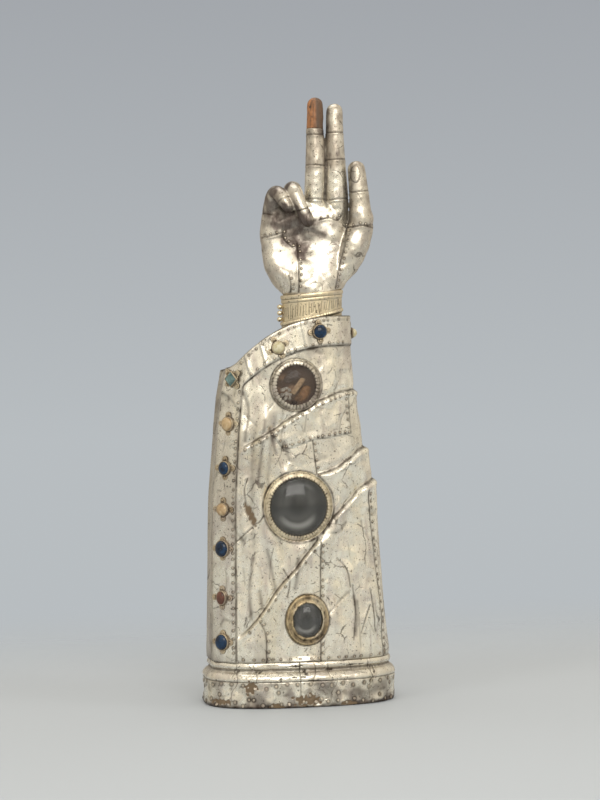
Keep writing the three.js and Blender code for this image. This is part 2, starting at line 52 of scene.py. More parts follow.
# Camera, lights and stage
# A camera two metres off and a little to the left of the front sees the object on a pale
# floor against blue-grey, under broad soft lights from above and from both sides.
camera_data = bpy.data.cameras.new("camera")
camera_data.lens = 87.4
camera_data.shift_x = 0.001
camera = bpy.data.objects.new("camera", camera_data)
camera.location = (-0.450, -1.949, 0.390)
aim = Vector((0, 0, 0.3095))
camera.rotation_euler = (aim - camera.location).to_track_quat("-Z", "Y").to_euler()
bpy.context.scene.collection.objects.link(camera)
bpy.context.scene.camera = camera
bpy.context.scene.view_settings.view_transform = "Standard"


def soft_light(name, place, target, width, height, power, color=(1, 1, 1), mirrored=True):
    data = bpy.data.lights.new(name, "AREA")
    data.shape = "RECTANGLE"
    data.size = width
    data.size_y = height
    data.energy = power
    data.color = color
    light = bpy.data.objects.new(name, data)
    light.visible_glossy = mirrored
    light.visible_transmission = False
    light.location = place
    light.rotation_euler = (Vector(target) - Vector(place)).to_track_quat("-Z", "Y").to_euler()
    bpy.context.scene.collection.objects.link(light)


soft_light("key_front", (0.02, -1.5, 1.2), (0, 0, 0.25), 1.25, 1.0, 13, (1.0, 0.98, 0.94))
soft_light("left_front", (-1.7, -0.9, 0.9), (0, 0, 0.3), 0.5, 1.3, 9, (1.0, 0.97, 0.92), False)
soft_light("right_front", (1.8, -0.8, 0.8), (0, 0, 0.3), 0.5, 1.4, 9, (1.0, 0.97, 0.92), False)
soft_light("overhead", (-0.1, 0.2, 2.2), (0, 0, 0.35), 1.3, 1.3, 10)


def link(tree, source, target):
    tree.links.new(source, target)


def add_node(tree, kind, **values):
    node = tree.nodes.new(kind)
    for name, value in values.items():
        if hasattr(node, name):
            setattr(node, name, value)
        else:
            node.inputs[name.replace("_", " ").title()].default_value = value
    return node


def mix_colors(tree, factor, first, second):
    mix = add_node(tree, "ShaderNodeMix", data_type="RGBA")
    for source, socket in ((factor, mix.inputs[0]), (first, mix.inputs[6]), (second, mix.inputs[7])):
        if isinstance(source, (tuple, float, int)):
            socket.default_value = source
        else:
            link(tree, source, socket)
    return mix.outputs[2]


def math_node(tree, operation, first, second=0.0, clamp=False):
    math = add_node(tree, "ShaderNodeMath", operation=operation, use_clamp=clamp)
    for source, socket in ((first, math.inputs[0]), (second, math.inputs[1])):
        if isinstance(source, (float, int)):
            socket.default_value = source
        else:
            link(tree, source, socket)
    return math.outputs[0]


def range_node(tree, value, low, high, to_low=0.0, to_high=1.0, smooth_ends=False):
    node = add_node(tree, "ShaderNodeMapRange")
    if smooth_ends:
        node.interpolation_type = "SMOOTHSTEP"
    limits = (("From Min", low), ("From Max", high), ("To Min", to_low), ("To Max", to_high))
    for name, number in limits:
        node.inputs[name].default_value = number
    link(tree, value, node.inputs["Value"])
    return node.outputs["Result"]


world = bpy.data.worlds.new("studio")
bpy.context.scene.world = world
world.use_nodes = True
tree = world.node_tree
sky = tree.nodes["Background"]
direction = add_node(tree, "ShaderNodeTexCoord")
split = add_node(tree, "ShaderNodeSeparateXYZ")
link(tree, direction.outputs["Generated"], split.inputs[0])
backdrop = mix_colors(tree, range_node(tree, split.outputs["Z"], -0.06, 0.16), (0.48, 0.51, 0.53, 1),
                      (0.37, 0.39, 0.415, 1))
room = add_node(tree, "ShaderNodeValToRGB")
room.color_ramp.interpolation = "EASE"
link(tree, range_node(tree, split.outputs["X"], -1, 1), room.inputs["Fac"])
reflectors = [(0.0, 0.66), (0.13, 0.76), (0.2, 0.95), (0.25, 1.2), (0.3, 0.36), (0.37, 1.08), (0.45, 0.82),
              (0.51, 0.4), (0.56, 1.0), (0.63, 0.9), (0.68, 0.3), (0.74, 1.2), (0.86, 0.82), (1.0, 0.66)]
for index, (spot, shade) in enumerate(reflectors):
    stops = room.color_ramp.elements
    stop = stops[0] if index == 0 else (stops[-1] if index == len(reflectors) - 1 else stops.new(spot))
    stop.position = spot
    stop.color = (shade, shade * 0.94, shade * 0.83, 1)
behind = range_node(tree, split.outputs["Y"], 0.3, 0.85, smooth_ends=True)
reflected = mix_colors(tree, behind, room.outputs["Color"], (0.44, 0.41, 0.36, 1))
seen = add_node(tree, "ShaderNodeLightPath")
link(tree, mix_colors(tree, seen.outputs["Is Camera Ray"], reflected, backdrop), sky.inputs["Color"])


def new_material(name):
    material = bpy.data.materials.new(name)
    material.use_nodes = True
    return material, material.node_tree, material.node_tree.nodes["Principled BSDF"]


floor_material, tree, floor_shader = new_material("pale_floor")
floor_shader.inputs["Roughness"].default_value = 0.6
floor_shader.inputs["Base Color"].default_value = (0.44, 0.47, 0.5, 1)
place = add_node(tree, "ShaderNodeTexCoord")
split = add_node(tree, "ShaderNodeSeparateXYZ")
link(tree, place.outputs["Object"], split.inputs[0])
floor_fade = range_node(tree, split.outputs["Y"], 0.04, 0.7, 1, 0, smooth_ends=True)
link(tree, floor_fade, floor_shader.inputs["Alpha"])

floor_mesh = bpy.data.meshes.new("floor")
floor_mesh.from_pydata([(-6, -6, 0), (6, -6, 0), (6, 1, 0), (-6, 1, 0)], [], [(0, 1, 2, 3)])
floor = bpy.data.objects.new("floor", floor_mesh)
floor.location = (0, 0, cad_low.z - 0.0004)
floor_mesh.materials.append(floor_material)
bpy.context.scene.collection.objects.link(floor)


# Plinth
# An oval block of wood wrapped in silver sheet: a flat band below, a rolled shoulder, a
# hollow and a bead under the sleeve. The sheet is dented, torn along its foot, and nailed.
plinth_height = 45.0
plinth_projection = 6.4
sleeve_width = 187.4
sleeve_depth = 86.0
roundness = 2.6


def curve(knots):
    xs, ys = np.array(knots, float).T
    slopes = np.gradient(ys)
    slopes[1:-1] = (ys[2:] - ys[:-2]) / (xs[2:] - xs[:-2])
    slopes[0] = (ys[1] - ys[0]) / (xs[1] - xs[0])
    slopes[-1] = (ys[-1] - ys[-2]) / (xs[-1] - xs[-2])

    def at(place):
        place = np.clip(place, xs[0], xs[-1])
        i = np.clip(np.searchsorted(xs, place, side="right") - 1, 0, len(xs) - 2)
        span = xs[i + 1] - xs[i]
        s = (place - xs[i]) / span
        rise = ys[i] * (2 * s**3 - 3 * s**2 + 1) + ys[i + 1] * (3 * s**2 - 2 * s**3)
        return rise + span * (slopes[i] * (s**3 - 2 * s**2 + s) + slopes[i + 1] * (s**3 - s**2))

    return at


def smooth(low, high, value):
    t = np.clip((value - low) / (high - low), 0, 1)
    return t * t * (3 - 2 * t)


def hump(distance, reach):
    return np.exp(-((distance / reach) ** 2))


def ripple(points, size, seed, waves=26):
    rng = np.random.default_rng(seed)
    heading = rng.normal(size=(waves, 3))
    heading /= np.linalg.norm(heading, axis=1)[:, None]
    heading *= (2 * np.pi / size) * rng.uniform(0.6, 1.5, (waves, 1))
    phase = rng.uniform(0, 2 * np.pi, waves)
    return np.sin(points @ heading.T + phase).sum(-1) * np.sqrt(2 / waves)


def crumple(points, size, seed):
    rng = np.random.default_rng(seed)
    jitter = rng.uniform(0, 1, (13, 13, 13, 3))
    scaled = points / size
    cell = np.floor(scaled).astype(int)
    nearest = np.full(points.shape[:-1], 9.0)
    for offset in np.ndindex(3, 3, 3):
        at = cell + offset - 1
        spot = at + jitter[at[..., 0] % 13, at[..., 1] % 13, at[..., 2] % 13]
        nearest = np.minimum(nearest, ((scaled - spot) ** 2).sum(-1))
    return nearest - 0.3


def oval(angles, half_x, half_y, power=roundness):
    c, s = np.cos(angles), np.sin(angles)
    x = np.sign(c) * np.abs(c) ** (2 / power) * half_x
    y = np.sign(s) * np.abs(s) ** (2 / power) * half_y
    return x, y


def outward(x, y, half_x, half_y):
    out = np.stack([np.sign(x) * np.abs(x / half_x) ** (roundness - 1) / half_x,
                    np.sign(y) * np.abs(y / half_y) ** (roundness - 1) / half_y, 0 * x], -1)
    return out / np.linalg.norm(out, axis=-1)[..., None]


def even_angles(start, count, half_x, half_y, turn=np.pi):
    fine = np.linspace(start, start + turn, 4000)
    x, y = oval(fine, half_x, half_y)
    length = np.concatenate([[0], np.cumsum(np.hypot(np.diff(x), np.diff(y)))])
    return np.interp(np.linspace(0, length[-1], count, endpoint=False), length, fine)


def skin(rows, loop=False, capped=True):
    grid = np.asarray(rows, float)
    count, sides = grid.shape[:2]
    index = np.arange(count * sides).reshape(count, sides)
    beside = np.roll(index, -1, axis=1)
    if loop:
        above, above_beside = np.roll(index, -1, axis=0), np.roll(beside, -1, axis=0)
        quads = np.stack([index, beside, above_beside, above], -1)
    else:
        quads = np.stack([index[:-1], beside[:-1], beside[1:], index[1:]], -1)
    points = grid.reshape(-1, 3)
    faces = quads.reshape(-1, 4).tolist()
    if capped and not loop:
        foot, head = len(points), len(points) + 1
        points = np.vstack([points, grid[0].mean(0), grid[-1].mean(0)])
        faces += [(foot, beside[0, i], index[0, i]) for i in range(sides)]
        faces += [(head, index[-1, i], beside[-1, i]) for i in range(sides)]
    return points, faces


def make_piece(name, points, faces, material, nodes=(), marks=None):
    mesh = bpy.data.meshes.new(name)
    mesh.from_pydata((np.asarray(points) * 0.001).tolist(), [], faces)
    mesh.materials.append(material)
    mesh.shade_smooth()
    for mark, values in (marks or {}).items():
        layer = mesh.attributes.new(mark, "FLOAT", "POINT")
        layer.data.foreach_set("value", np.asarray(values, np.float32).ravel())
    piece = bpy.data.objects.new(name, mesh)
    bpy.context.scene.collection.objects.link(piece)
    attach(piece, "root")
    if nodes:
        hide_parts(*nodes)
    return piece


# Tarnish, dark grime with painted shade in crevices, grooves and junctions, smoky stains with painted
# shade, and fine scratches, on silver and gilding
def new_group(name, inputs, outputs):
    group = bpy.data.node_groups.new(name, "ShaderNodeTree")
    for socket, value in inputs.items():
        kind = "NodeSocketColor" if isinstance(value, tuple) else "NodeSocketFloat"
        group.interface.new_socket(socket, in_out="INPUT", socket_type=kind).default_value = value
    for socket, kind in outputs.items():
        group.interface.new_socket(socket, in_out="OUTPUT", socket_type=kind)
    return group, group.nodes.new("NodeGroupInput"), group.nodes.new("NodeGroupOutput")


def times(tree, first, second, clamp=False):
    return math_node(tree, "MULTIPLY", first, second, clamp)


def attribute(tree, name):
    return add_node(tree, "ShaderNodeAttribute", attribute_name=name).outputs["Fac"]


def noise(tree, place, scale, detail=4.0, rough=0.55, warp=0.0, stretch=(1, 1, 1)):
    mapping = add_node(tree, "ShaderNodeMapping")
    mapping.inputs["Scale"].default_value = stretch
    link(tree, place.outputs["Object"], mapping.inputs["Vector"])
    node = add_node(tree, "ShaderNodeTexNoise", scale=scale, detail=detail, roughness=rough)
    node.inputs["Distortion"].default_value = warp
    link(tree, mapping.outputs["Vector"], node.inputs["Vector"])
    return node.outputs["Fac"]


worn_metal, given, result = new_group(
    "worn_metal",
    {"Bright": (0.9, 0.85, 0.75, 1), "Tarnished": (0.5, 0.4, 0.3, 1), "Grime_And_Shade": (0.05, 0.035, 0.025, 1),
     "Smoke_And_Shade": (0.15, 0.12, 0.1, 1), "Tarnish Amount": 0.5, "Smoothness": 0.25, "Hairlines": 0.0},
    {"Color": "NodeSocketColor", "Roughness": "NodeSocketFloat", "Height": "NodeSocketFloat"},
)
tree = worn_metal
given = given.outputs
place = add_node(tree, "ShaderNodeTexCoord")
broad = noise(tree, place, 30, 5, 0.6, 0.5, (1, 1, 0.45))
middle = noise(tree, place, 140, 4, 0.6, 0.3, (1, 1, 0.6))
fine = noise(tree, place, 1000, 3, 0.6)
scratches = noise(tree, place, 1, 2, 0.5, 0, (420, 420, 60))
patches = math_node(tree, "ADD", times(tree, broad, 0.62), times(tree, middle, 0.38))
tarnish = times(tree, range_node(tree, patches, 0.44, 0.62), given["Tarnish Amount"])
# This mark darkens real cracks, seams and dirt, and also paints shade into creases, grooves and the
# junctions between parts
grime_and_shade = times(tree, attribute(tree, "grime_and_shade"), range_node(tree, middle, 0.3, 0.6, 0.6, 1.0), True)
# This mark lays smoky stains and also painted shade: the plinth's foot, the palm's hollow, the shadow side
# of ridges, grazing edges
smoke_and_shade = times(tree, attribute(tree, "smoke_and_shade"), range_node(tree, patches, 0.35, 0.6, 0.7, 1.1), True)
mauve = range_node(tree, noise(tree, place, 55, 3, 0.55, 1.0, (1, 1, 0.4)), 0.5, 0.66, 0.0, 0.5)
waxy = range_node(tree, noise(tree, place, 42, 3, 0.55, 0.8, (1, 1, 0.35)), 0.5, 0.68, 0.0, 0.5)
mottled = noise(tree, place, 330, 3, 0.6, 0.4, (1, 1, 0.5))
dull_and_shade_color = mix_colors(tree, range_node(tree, mottled, 0.42, 0.62, smooth_ends=True), (0.5, 0.42, 0.32, 1),
                        (0.26, 0.2, 0.145, 1))
# Matte brown where the metal is dulled, and also on sideways-facing and tucked-away parts of the hand as
# painted shade
dulled_and_shaded = times(tree, attribute(tree, "dull_and_shade"), range_node(tree, middle, 0.3, 0.6, 0.6, 1.05), True)

# Hairline cracks run along the edges of wavering cells, here and there
bent = add_node(tree, "ShaderNodeVectorMath", operation="MULTIPLY_ADD")
bend_noise = add_node(tree, "ShaderNodeTexNoise", scale=70.0, detail=3.0)
link(tree, place.outputs["Object"], bend_noise.inputs["Vector"])
link(tree, bend_noise.outputs["Color"], bent.inputs[0])
bent.inputs[1].default_value = (0.007, 0.007, 0.014)
link(tree, place.outputs["Object"], bent.inputs[2])
cells = add_node(tree, "ShaderNodeTexVoronoi", feature="DISTANCE_TO_EDGE", scale=36.0)
link(tree, bent.outputs[0], cells.inputs["Vector"])
broken = range_node(tree, noise(tree, place, 60, 2, 0.5), 0.53, 0.62)
hairlines = times(tree, range_node(tree, cells.outputs["Distance"], 0.022, 0.008), broken)
hairlines = times(tree, hairlines, given["Hairlines"], True)

speckle = times(tree, range_node(tree, fine, 0.55, 0.72), 0.28)
specks = times(tree, range_node(tree, noise(tree, place, 520, 1, 0.4), 0.66, 0.72), 0.75)
metal_color = given["Bright"]
layers = [(tarnish, given["Tarnished"]), (mauve, (0.5, 0.42, 0.38, 1)), (waxy, (0.92, 0.83, 0.62, 1)),
          (dulled_and_shaded, dull_and_shade_color), (times(tree, hairlines, 0.7), given["Grime_And_Shade"]),
          (speckle, given["Tarnished"]), (specks, given["Grime_And_Shade"]), (smoke_and_shade, given["Smoke_And_Shade"]),
          (grime_and_shade, given["Grime_And_Shade"])]
for amount, color in layers:
    metal_color = mix_colors(tree, amount, metal_color, color)
link(tree, metal_color, result.inputs["Color"])
rough = given["Smoothness"]
for mark, share in ((tarnish, 0.14), (grime_and_shade, 0.35), (smoke_and_shade, 0.12)):
    rough = math_node(tree, "ADD", rough, times(tree, mark, share))
rough = math_node(tree, "ADD", rough, range_node(tree, middle, 0.3, 0.7, -0.05, 0.07), True)
link(tree, rough, result.inputs["Roughness"])
height = times(tree, middle, 0.3)
for mark, share in ((fine, 0.09), (scratches, 0.1), (hairlines, -0.35)):
    height = math_node(tree, "ADD", height, times(tree, mark, share))
link(tree, height, result.inputs["Height"])


def metal_material(name, bright, tarnished, amount, smoothness, bare_wood=False, hairlines=0.0):
    material, tree, shader = new_material(name)
    worn = add_node(tree, "ShaderNodeGroup", node_tree=worn_metal)
    looks = {"Bright": bright, "Tarnished": tarnished, "Grime_And_Shade": (0.05, 0.037, 0.027, 1),
             "Smoke_And_Shade": (0.12, 0.095, 0.082, 1), "Tarnish Amount": amount, "Smoothness": smoothness,
             "Hairlines": hairlines}
    for socket, value in looks.items():
        worn.inputs[socket].default_value = value
    color, roughness = worn.outputs["Color"], worn.outputs["Roughness"]
    if bare_wood:
        dull_and_shade, bare = attribute(tree, "dull_and_shade"), attribute(tree, "bare")
        color = mix_colors(tree, bare, color, (0.15, 0.105, 0.062, 1))
        roughness = math_node(tree, "ADD", roughness, times(tree, dull_and_shade, 0.12))
        roughness = math_node(tree, "ADD", roughness, times(tree, bare, 0.4), True)
        covered = math_node(tree, "SUBTRACT", 0.88, times(tree, dull_and_shade, 0.3))
        link(tree, math_node(tree, "SUBTRACT", covered, bare, True), shader.inputs["Metallic"])
    else:
        shader.inputs["Metallic"].default_value = 0.9
    link(tree, color, shader.inputs["Base Color"])
    link(tree, roughness, shader.inputs["Roughness"])
    bump = add_node(tree, "ShaderNodeBump")
    bump.inputs["Strength"].default_value = 0.35
    bump.inputs["Distance"].default_value = 0.0006
    link(tree, worn.outputs["Height"], bump.inputs["Height"])
    link(tree, bump.outputs["Normal"], shader.inputs["Normal"])
    return material


silver = metal_material("silver_sheet", (0.95, 0.905, 0.77, 1), (0.66, 0.57, 0.46, 1), 0.48, 0.22,
                        bare_wood=True, hairlines=1.0)
nail_silver = metal_material("nail_heads", (0.66, 0.58, 0.46, 1), (0.36, 0.29, 0.22, 1), 0.8, 0.3)

foot_half = (94.0, 43.0)
plinth_half = (100.0, 49.4)
plinth_rows = np.concatenate([np.linspace(0, 24, 40), np.linspace(24.5, 45, 46)])
plinth_profile = curve([[0, plinth_projection - 0.9], [1.5, plinth_projection],
                        [12, plinth_projection - 0.3], [25.2, plinth_projection - 0.5],
                        [26.3, plinth_projection - 0.9], [27.6, plinth_projection + 0.1],
                        [31, plinth_projection - 0.5], [34, 3.6], [35.7, 1.2], [37.2, 0.2], [38.4, 0.4],
                        [39.4, 1.5], [41.5, 1.9], [43.6, 1.4], [45, 0.6]])
plinth_angles = np.concatenate([even_angles(0, 200, *foot_half), even_angles(np.pi, 360, *foot_half)])

# Rips and torn places as (x, z, half width, half height), cracks as (x, lean, lowest, highest)
rips = [(-14, 41.5, 7, 0.9), (-4, 34.5, 2.0, 3.0), (-9, 31, 6, 0.8), (48, 40.6, 8, 0.7),
        (-52, 36.5, 3, 1.0), (22, 36.8, 4, 0.8), (-30, 29, 1.2, 2.6), (70, 33, 1.2, 3.4), (6, 27, 9, 0.8)]
torn_places = [(-60.4, 20.7, 5.5, 6.5), (-2.5, 7.5, 13.5, 5.0), (-88, 6.0, 9.0, 3.6), (40, 2.5, 9, 2.6),
               (-34, 2.4, 8, 2.4)]
plinth_cracks = [(-82, 0.3, 2, 38), (-48, -0.2, 24, 44), (2, 0.1, 24, 45), (19, 0.35, 3, 27),
                 (31, -0.3, 26, 44), (62, 0.15, 4, 40), (74, -0.25, 20, 45)]


def plinth_surface(angles, heights):
    projection = plinth_profile(heights)
    x, y = oval(angles, sleeve_width / 2 + projection, sleeve_depth / 2 + projection)
    points = np.stack([x, y, heights + 0 * x], -1)
    out = outward(x, y, *plinth_half)
    front = y < 0
    inside = smooth(0, 4, heights) * smooth(plinth_height, 42, heights)
    dents = 0.5 * ripple(points, 30, 11) + 0.9 * crumple(points * (1, 1, 1.3), 17, 12)
    dents += 0.1 * ripple(points, 7, 13) + 0.7 * hump(heights - 3, 5) * ripple(points * (1, 1, 0.3), 12, 14)
    bare = np.zeros(x.shape)
    ragged = 0.3 * ripple(points, 6, 15)
    for x_at, z_at, half_x, half_z in torn_places:
        reach = np.hypot((x - x_at) / half_x, (heights - z_at) / half_z) + ragged
        bare = np.maximum(bare, smooth(1.05, 0.85, reach) * (y < 12))
    crack = hump(x + 9.5, 0.5) * smooth(10, 14, heights) * front
    # Dark lines in the profile's notch and in the hollow under the bead are painted shade; the cracks are
    # real
    grime_and_shade = 0.75 * (hump(heights - 26.3, 0.7) + hump(heights - 37.3, 0.9)) + 0.8 * crack
    # Darker towards the foot: painted shadow where the plinth meets the floor
    grime_and_shade += 0.7 * smooth(5, 0, heights) * (0.6 + 0.4 * ripple(points, 9, 16))
    grime_and_shade += 0.4 * smooth(0.2, 1.6, -ripple(points, 10, 17)) * smooth(30, 20, heights)
    for crack_x, lean, low, high in plinth_cracks:
        off = x - crack_x - lean * heights - 1.2 * np.sin(heights / 3 + crack_x)
        shown = smooth(low, low + 2, heights) * smooth(high, high - 2, heights) * front
        crack = crack + hump(off, 0.45) * shown
    crack = np.clip(crack, 0, 1)
    grime_and_shade += 0.75 * crack
    smoke_and_shade = smooth(-0.2, 1.2, ripple(points, 30, 18)) * 0.55 * smooth(29, 24, heights)
    # Painted shadow along the foot and painted shade in the hollow under the bead, over an even film
    smoke_and_shade += 0.85 * smooth(6, 0, heights) + 0.35 * hump(heights - 37, 3) + 0.15
    for x_at, z_at, half_x, half_z in rips:
        reach = np.hypot((x - x_at) / half_x, (heights - z_at) / half_z) + 0.35 * ripple(points, 4, 19)
        ripped = smooth(1.1, 0.8, reach) * front
        grime_and_shade += 0.9 * ripped
        dents -= 0.9 * ripped
    shift = 0.75 * inside * dents - 0.7 * bare - 0.5 * crack
    marks = np.clip(grime_and_shade, 0, 1), bare, np.clip(smoke_and_shade, 0, 1)
    return points + out * np.clip(shift, -2.2, 1.6)[..., None], marks


def plinth_nail_spots():
    rng = np.random.default_rng(31)
    angles, heights = [], []
    for height, count, spread in ((22.5, 44, 1.6), (5.5, 52, 2.2), (13, 16, 4.5)):
        angles.append(even_angles(0, count, 100, 49, 2 * np.pi) + rng.normal(0, 0.012, count))
        heights.append(height + rng.normal(0, spread, count))
    return np.concatenate(angles), np.clip(np.concatenate(heights), 2.6, 24.2)


def halos(points, centres, reach):
    marks = np.zeros(points.shape[:-1])
    for centre in centres:
        near = np.abs(points - centre).max(-1) < 3 * reach
        distance = np.linalg.norm(points[near] - centre, axis=-1)
        marks[near] = np.maximum(marks[near], smooth(reach * 1.7, reach * 0.9, distance))
    return marks


plinth_points, (grime_and_shade, bare, smoke_and_shade) = plinth_surface(*np.meshgrid(plinth_angles, plinth_rows))
plinth_points[0, :, 2] = 0
plinth_points[-1, :, 2] = plinth_height
grime_and_shade = np.maximum(grime_and_shade, 0.75 * halos(plinth_points, plinth_surface(*plinth_nail_spots())[0], 2.1))
points, faces = skin(plinth_points)
marks = {"grime_and_shade": np.append(grime_and_shade, [0, 0]), "bare": np.append(bare, [1, 0]),
         "smoke_and_shade": np.append(smoke_and_shade, [0, 0])}
make_piece("plinth_sheet", points, faces, silver, ["plinth"], marks)


# Nails
# Small silver nails with flattened heads hold the sheets to the wood. The larger ones round
# the plinth have a sunk ring round a low boss.
# Each row of a head is its share of the radius, its height and how dark it is
small_head = [(1.15, -0.25, 0.85), (1.1, 0.15, 0.85), (0.75, 0.42, 0.1), (0.3, 0.52, 0.1)]
ring_head = [(1.25, -0.3, 0.85), (1.15, 0.2, 0.85), (0.92, 0.34, 0.1), (0.68, 0.1, 0.5), (0.5, 0.22, 0.1),
             (0.2, 0.34, 0.1)]


def nail_rows(name, places, outward, size, profile, seed, slot="silver", material=nail_silver):
    rng = np.random.default_rng(seed)
    places, outward = np.asarray(places), np.asarray(outward)
    outward = outward / np.linalg.norm(outward, axis=1)[:, None]
    across = np.cross([0, 0, 1.0], outward)
    across /= np.linalg.norm(across, axis=1)[:, None]
    up = np.cross(outward, across)
    sides = 10
    turn = np.linspace(0, 2 * np.pi, sides, endpoint=False)
    points, faces, marks = [], [], []
    for place, out, a, u in zip(places, outward, across, up):
        radius = size * rng.uniform(0.8, 1.15)
        squash = rng.uniform(0.85, 1.15)
        start = len(points)
        for share, height, dark in profile:
            for angle in turn:
                points.append(place + a * np.cos(angle) * radius * share * squash
                              + u * np.sin(angle) * radius * share / squash + out * height * size)
                marks.append(dark)
        last = len(points) - sides
        points.append(place + out * profile[-1][1] * size)
        marks.append(0.1)
        faces.append(tuple(start + i for i in reversed(range(sides))))
        for low in range(start, last, sides):
            for i in range(sides):
                j = (i + 1) % sides
                faces.append((low + i, low + j, low + sides + j, low + sides + i))
        faces += [(last + i, last + (i + 1) % sides, last + sides) for i in range(sides)]
    return make_piece(name, points, faces, material, (), {"grime_and_shade": marks})


def plinth_nails():
    angles, heights = plinth_nail_spots()
    centre = plinth_surface(angles, heights)[0]
    beside = plinth_surface(angles + 0.004, heights)[0] - plinth_surface(angles - 0.004, heights)[0]
    above = plinth_surface(angles, heights + 0.8)[0] - plinth_surface(angles, heights - 0.8)[0]
    return centre, np.cross(beside, above)


nail_rows("plinth_nails", *plinth_nails(), 1.45, ring_head, 32)


# Sleeve
# A wooden core under silver sheets. The drapery's folds are beaten up in steps, the sheets
# overlap and are nailed along their edges, and a nailed hem goes round the slanted mouth
# and down the left end. One patch covers an old break, and wood shows through a tear.
sleeve_height = 351.0
sleeve_top_depth = 70.004
sleeve_foot = 45.3
mouth_top = plinth_height + sleeve_height
mouth_drop = 55.0
mouth_arch = 2.7
mouth_wall = 3.0
mouth_recess = 6.0
mouth_turn = 0.23
hem_width = 29.0
hem_thickness = 1.6
hem_strip = 0.772
left_draw = curve([[0, 0], [0.35, 0.007], [0.46, 0.013], [0.6, 0.035], [0.75, 0.063], [0.84, 0.09],
                   [1, 0.14]])
right_draw = curve([[0, 0], [0.13, 0.016], [0.25, 0.042], [0.4, 0.075], [0.52, 0.112], [0.61, 0.148],
                    [0.7, 0.173], [0.78, 0.197], [0.9, 0.223], [1, 0.234]])


def sleeve_plan(z):
    share = np.clip((z - plinth_height) / sleeve_height, 0, 1)
    left = sleeve_width * (left_draw(share) - 0.5)
    right = sleeve_width * (0.5 - right_draw(share))
    half_y = (sleeve_depth + (sleeve_top_depth - sleeve_depth) * share) / 2
    return (left + right) / 2, (right - left) / 2, half_y, share


mouth_right = sleeve_width * (0.5 - right_draw(1.0))
mouth_left = sleeve_width * (left_draw(1 - mouth_drop / sleeve_height) - 0.5)
floor_slope = mouth_drop / (mouth_right - mouth_left)


def slant_place(x, y):
    return x - mouth_turn * (y + sleeve_top_depth * 0.35) - mouth_left


def mouth_floor(x, y):
    return mouth_top - mouth_drop - mouth_recess + floor_slope * slant_place(x, y)


def mouth_lip(x, y):
    across = np.clip(slant_place(x, y) / (mouth_right - mouth_left), 0, 1)
    corner = slant_place(x, y)
    lip = mouth_top - mouth_drop * (1 - across) ** mouth_arch
    return lip + 2.2 * hump(corner + 0.5, 4.5) - 2.0 * smooth(-4, -10, corner)


def depth_at(side):
    return (1 - np.clip(np.abs(side), 0, 1) ** roundness) ** (1 / roundness)


def hem_line(places, face, drop):
    z = np.full(len(places), mouth_top - 20)
    for _ in range(8):
        middle_x, half_x, half_y, _ = sleeve_plan(z)
        z = mouth_lip(places, face * half_y * depth_at((places - middle_x) / half_x)) - drop
    return np.stack([places, z], -1)


def smooth_line(points, step=2.5):
    points = np.array(points, float)
    padded = np.vstack([2 * points[0] - points[1], points, 2 * points[-1] - points[-2]])
    made = [points[0]]
    for k in range(1, len(padded) - 2):
        p0, p1, p2, p3 = padded[k - 1:k + 3]
        count = max(2, int(np.hypot(*(p2 - p1)) / step))
        for t in np.arange(1, count + 1) / count:
            made.append(0.5 * (2 * p1 + (p2 - p0) * t + (2 * p0 - 5 * p1 + 4 * p2 - p3) * t**2
                               + (3 * p1 - p0 - 3 * p2 + p3) * t**3))
    return np.array(made)


def from_line(x, z, line):
    best = np.full(np.shape(x), 1e9)
    side = np.zeros(np.shape(x))
    for (x0, z0), (x1, z1) in zip(line, line[1:]):
        dx, dz = x1 - x0, z1 - z0
        t = np.clip(((x - x0) * dx + (z - z0) * dz) / (dx * dx + dz * dz), 0, 1)
        off_x, off_z = x - x0 - t * dx, z - z0 - t * dz
        distance = np.hypot(off_x, off_z)
        closer = distance < best
        side = np.where(closer, np.sign(dx * off_z - dz * off_x), side)
        best = np.where(closer, distance, best)
    return best, side


# Fold edges as [side, height] shares, how far each stands proud below its edge, and its fade
fold_edges = [(curve(knots), knots[0][0], proud, fade) for knots, proud, fade in (
    ([[-0.8, 0.61], [-0.2, 0.687], [0.08, 0.724], [0.34, 0.751], [0.77, 0.779], [1, 0.782]], 2.6, 46),
    ([[0.12, 0.53], [0.5, 0.557], [0.93, 0.611], [1, 0.613]], 4.6, 26),
    ([[-0.8, 0.06], [-0.56, 0.123], [-0.31, 0.212], [-0.01, 0.296], [0.16, 0.347], [0.36, 0.409],
      [0.51, 0.443], [0.72, 0.481], [1, 0.522]], 3.4, 40))]

# Upright ridges as [height, side] shares, how proud each stands, its reach, and its ends
ridges = [
    (curve([[0.3, -0.36], [0.42, -0.46], [0.49, -0.52], [0.58, -0.5], [0.74, -0.42]]),
     3.4, 6.0, 0.27, 0.76),
    (curve([[0.3, -0.66], [0.45, -0.68], [0.6, -0.7], [0.72, -0.66]]), 2.1, 4.5, 0.26, 0.74),
    (curve([[0.55, -0.26], [0.66, -0.3], [0.76, -0.27]]), 1.8, 4.0, 0.52, 0.78),
]

